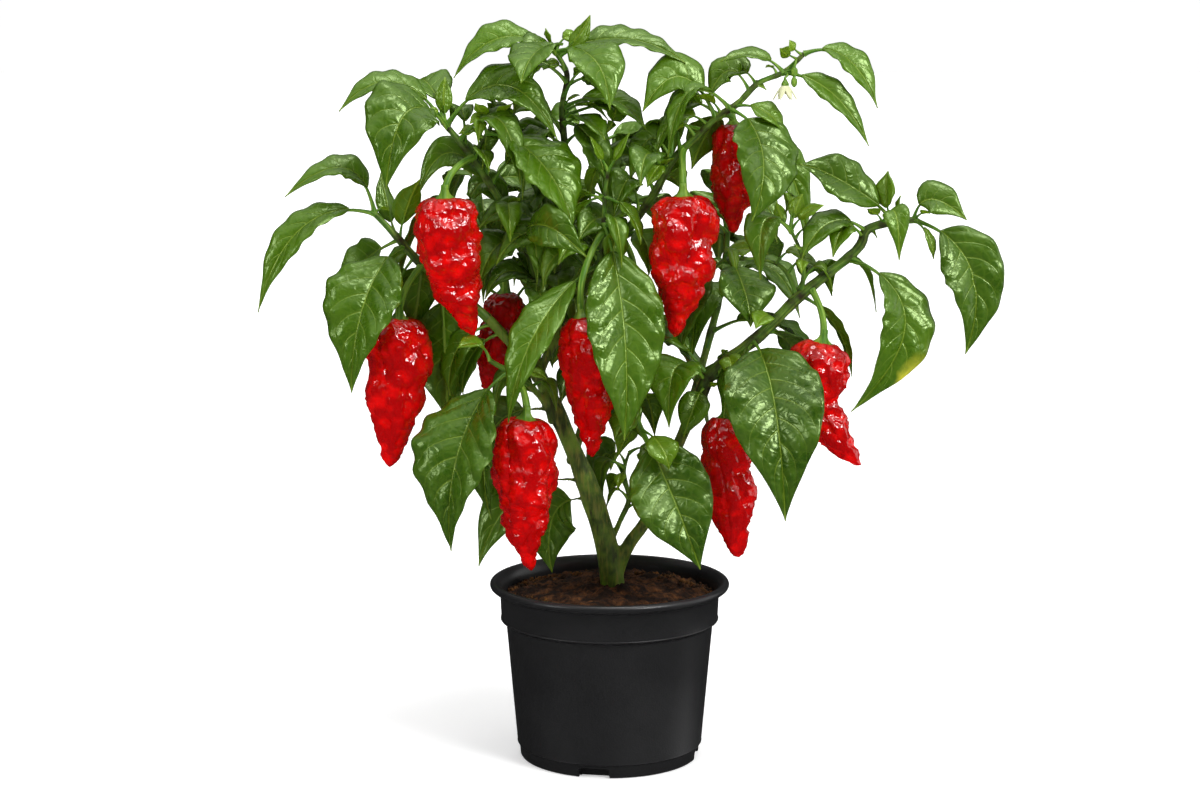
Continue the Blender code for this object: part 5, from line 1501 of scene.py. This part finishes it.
def light_studio():
    """Soft lamps above and round the plant, and a pale ceiling over a dark room."""
    sun("key_lamp", (-0.70, 0.70, -0.75), 1.75, 18)
    sun("front_fill", (0.1, 1.0, -0.45), 0.35, 60, glint=False)
    sun("top_lamp", (-0.12, 0.15, -1.0), 1.0, 24)
    sun("left_lamp", (1.0, 0.65, -0.5), 0.55, 16)
    sun("rear_lamp", (-0.1, -1.0, -0.9), 0.3, 25, glint=False)
    sun("right_lamp", (-1.0, -0.17, -0.22), 0.6, 50)
    world = bpy.data.worlds.new("studio_room")
    bpy.context.scene.world = world
    world.use_nodes = True
    tree = world.node_tree
    heading = add(tree, "ShaderNodeTexCoord").outputs["Generated"]
    height = add(tree, "ShaderNodeSeparateXYZ", [heading]).outputs["Z"]
    ceiling = add(tree, "ShaderNodeMapRange", [height, 0.4, 0.95, 0.03, 1.0],
                  interpolation_type="SMOOTHSTEP")
    feed(tree, tree.nodes["Background"], {"Color": srgb("#FFFFFF"), "Strength": ceiling})
    bpy.context.scene.view_settings.view_transform = "Standard"


# ---- the plant --------------------------------------------------------------------------
def plant_leaves(frame, fruits, box):
    """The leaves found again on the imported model's nodes, and the small ones between them."""
    trees = {name: BVHTree.FromPolygons([v.co for v in node.data.vertices],
                                        [p.vertices for p in node.data.polygons])
             for name, node in frame["nodes"].items()}
    leaves = placed_leaves(trees)
    leaves += grown_leaves(SPROUTS, SPROUT_HABIT, len(LEAVES),
                           lambda leaf: lies_on(leaf, trees[leaf.node]) < LEAF_THICK)
    leaves = [leaf.laid(*FINE_LAY[leaf.index]) if leaf.index in FINE_LAY else leaf
              for leaf in leaves]
    leaves += small_leaves()
    return leaves + grown_leaves(FILLERS, FILLER_HABIT, FIRST_FILLER,
                                 lambda leaf: stands_clear(leaf, fruits, box))


def stem_lines(lines, leaves, fruits):
    """The lines of the trunk and the stems, and of what grows from them."""
    for name, stem in STEMS.items():
        path = drawn_path(name)
        end = len(path) - 1
        joint = end if name == "trunk" else stem.get("joint", 0)
        rooted = [on_path(path, 0).to_3d()]
        rooted += [leaf.base for leaf in leaves if leaf.stem == name]
        rooted += [on_path(path, fruit.row).to_3d() for fruit in fruits if fruit.stem == name]
        tone = 0.3 if name == "right" else 0.5
        if joint:
            lines["trunk"].add(stem_rows(path, 0, joint), tone, rooted)
        if joint < end:
            lines[stem["node"]].add(stem_rows(path, max(0, joint - 0.04), end), tone, rooted)
    for leaf in leaves:
        lines[leaf.node].add(petiole_rows(leaf), 0.8)
    for fruit in fruits:
        lines[STEMS[fruit.stem]["node"]].add(peduncle_rows(fruit), 0.9)
    flower_lines(lines["upper_right_stem"])


def trunk_mesh(lines, tree, skin):
    """The trunk and its limbs grown together: the forks are rounded by a fine remesh."""
    blank = put("trunk_blank", made_by(tree, lines.mesh(), {**TRUNK_PROFILE, "Skin": skin}))
    remesh = blank.modifiers.new("grow_together", "REMESH")
    remesh.mode = "VOXEL"
    remesh.voxel_size = TRUNK_GRAIN * MM
    smooth = blank.modifiers.new("round_forks", "SMOOTH")
    smooth.iterations = 6
    made = applied(blank)
    made.shade_smooth()
    return made


def show_plant(frame, fruits, box, green):
    """The leafy stems, each a piece of leaves and a piece of stalks, and the trunk."""
    face, back, bark = leaf_face(), leaf_back(), trunk_bark()
    stalk = stalk_tree()
    nodes = [name for name in frame["nodes"] if name.endswith(("stem", "shoot"))] + ["trunk"]
    lines = {node: Lines() for node in nodes}
    blades = {node: Gathered() for node in nodes}
    leaves = plant_leaves(frame, fruits, box)
    stem_lines(lines, leaves, fruits)
    for leaf in leaves:
        blade_shape(leaf, blades[leaf.node], box)
    for node in nodes:
        if blades[node].count:
            show(node + "_leaves", blades[node].mesh(node), "foliage", [node], face, back)
        if node != "trunk":
            mesh = made_by(stalk, lines[node].mesh(), {**STALK_PROFILE, "Skin": green})
            show(node + "_stalks", mesh, "foliage", [node], green)
    show("trunk_and_limbs", trunk_mesh(lines["trunk"], stalk, bark), "green_wood", ["trunk"], bark)


def show_flower():
    """The hanging flower: six petals, with five stamens inside them."""
    whorl, place = whorl_tree(), seen(*FLOWER_TOP) * MM
    petals, pollen = petal_skin(), pollen_skin()
    mesh = made_by(whorl, petal_mesh(), {"Count": 6, "Spread": 0.5 * MM, "Place": place,
                                         "Skin": petals})
    show("flower_petals", mesh, "petal", ["flower"], petals)
    mesh = made_by(whorl, anther_mesh(), {"Count": 5, "Spread": 0.4 * MM, "Place": place,
                                          "Skin": pollen})
    show("flower_anthers", mesh, "petal", [], pollen)


def show_soil():
    """The bed of peat, with loose crumbs and fibres scattered on it."""
    dark_peat = peat("damp_peat", "#120803", "#684122")
    show("soil_bed", soil_mesh(), "soil", ["soil"], dark_peat)
    litter = litter_tree()
    crumbs = peat("loose_peat_crumbs", "#190D04", "#805426")
    fibres = peat("coir_fibres", "#5A3219", "#9A6438", 0.8)
    for name, skin in (("soil_crumbs", crumbs), ("soil_fibres", fibres)):
        mesh = made_by(litter, soil_top_mesh(), {**LITTER[name], "Skin": skin})
        show(name, mesh, "soil", [], skin)


def main():
    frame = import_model()
    cad_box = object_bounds()
    place_camera()
    build_studio()
    light_studio()

    fruits = [Fruit(name, row) for name, row in FRUITS.items()]
    green, red = stalk_skin("green_stem_skin", "#3F6A12", "#7C9A34", "#2A2110", 0.45), fruit_skin()
    show_plant(frame, fruits, cad_box, green)
    for fruit in fruits:
        show(fruit.name + "_fruit", fruit_mesh(fruit), "fruit_skin", [fruit.name], red)
        show(fruit.name + "_calyx", calyx_mesh(fruit), "foliage", [], green)
    show_flower()
    show_soil()
    show("pot_body", pot_mesh(), "pot_plastic", ["pot"], black_polypropylene())


main()
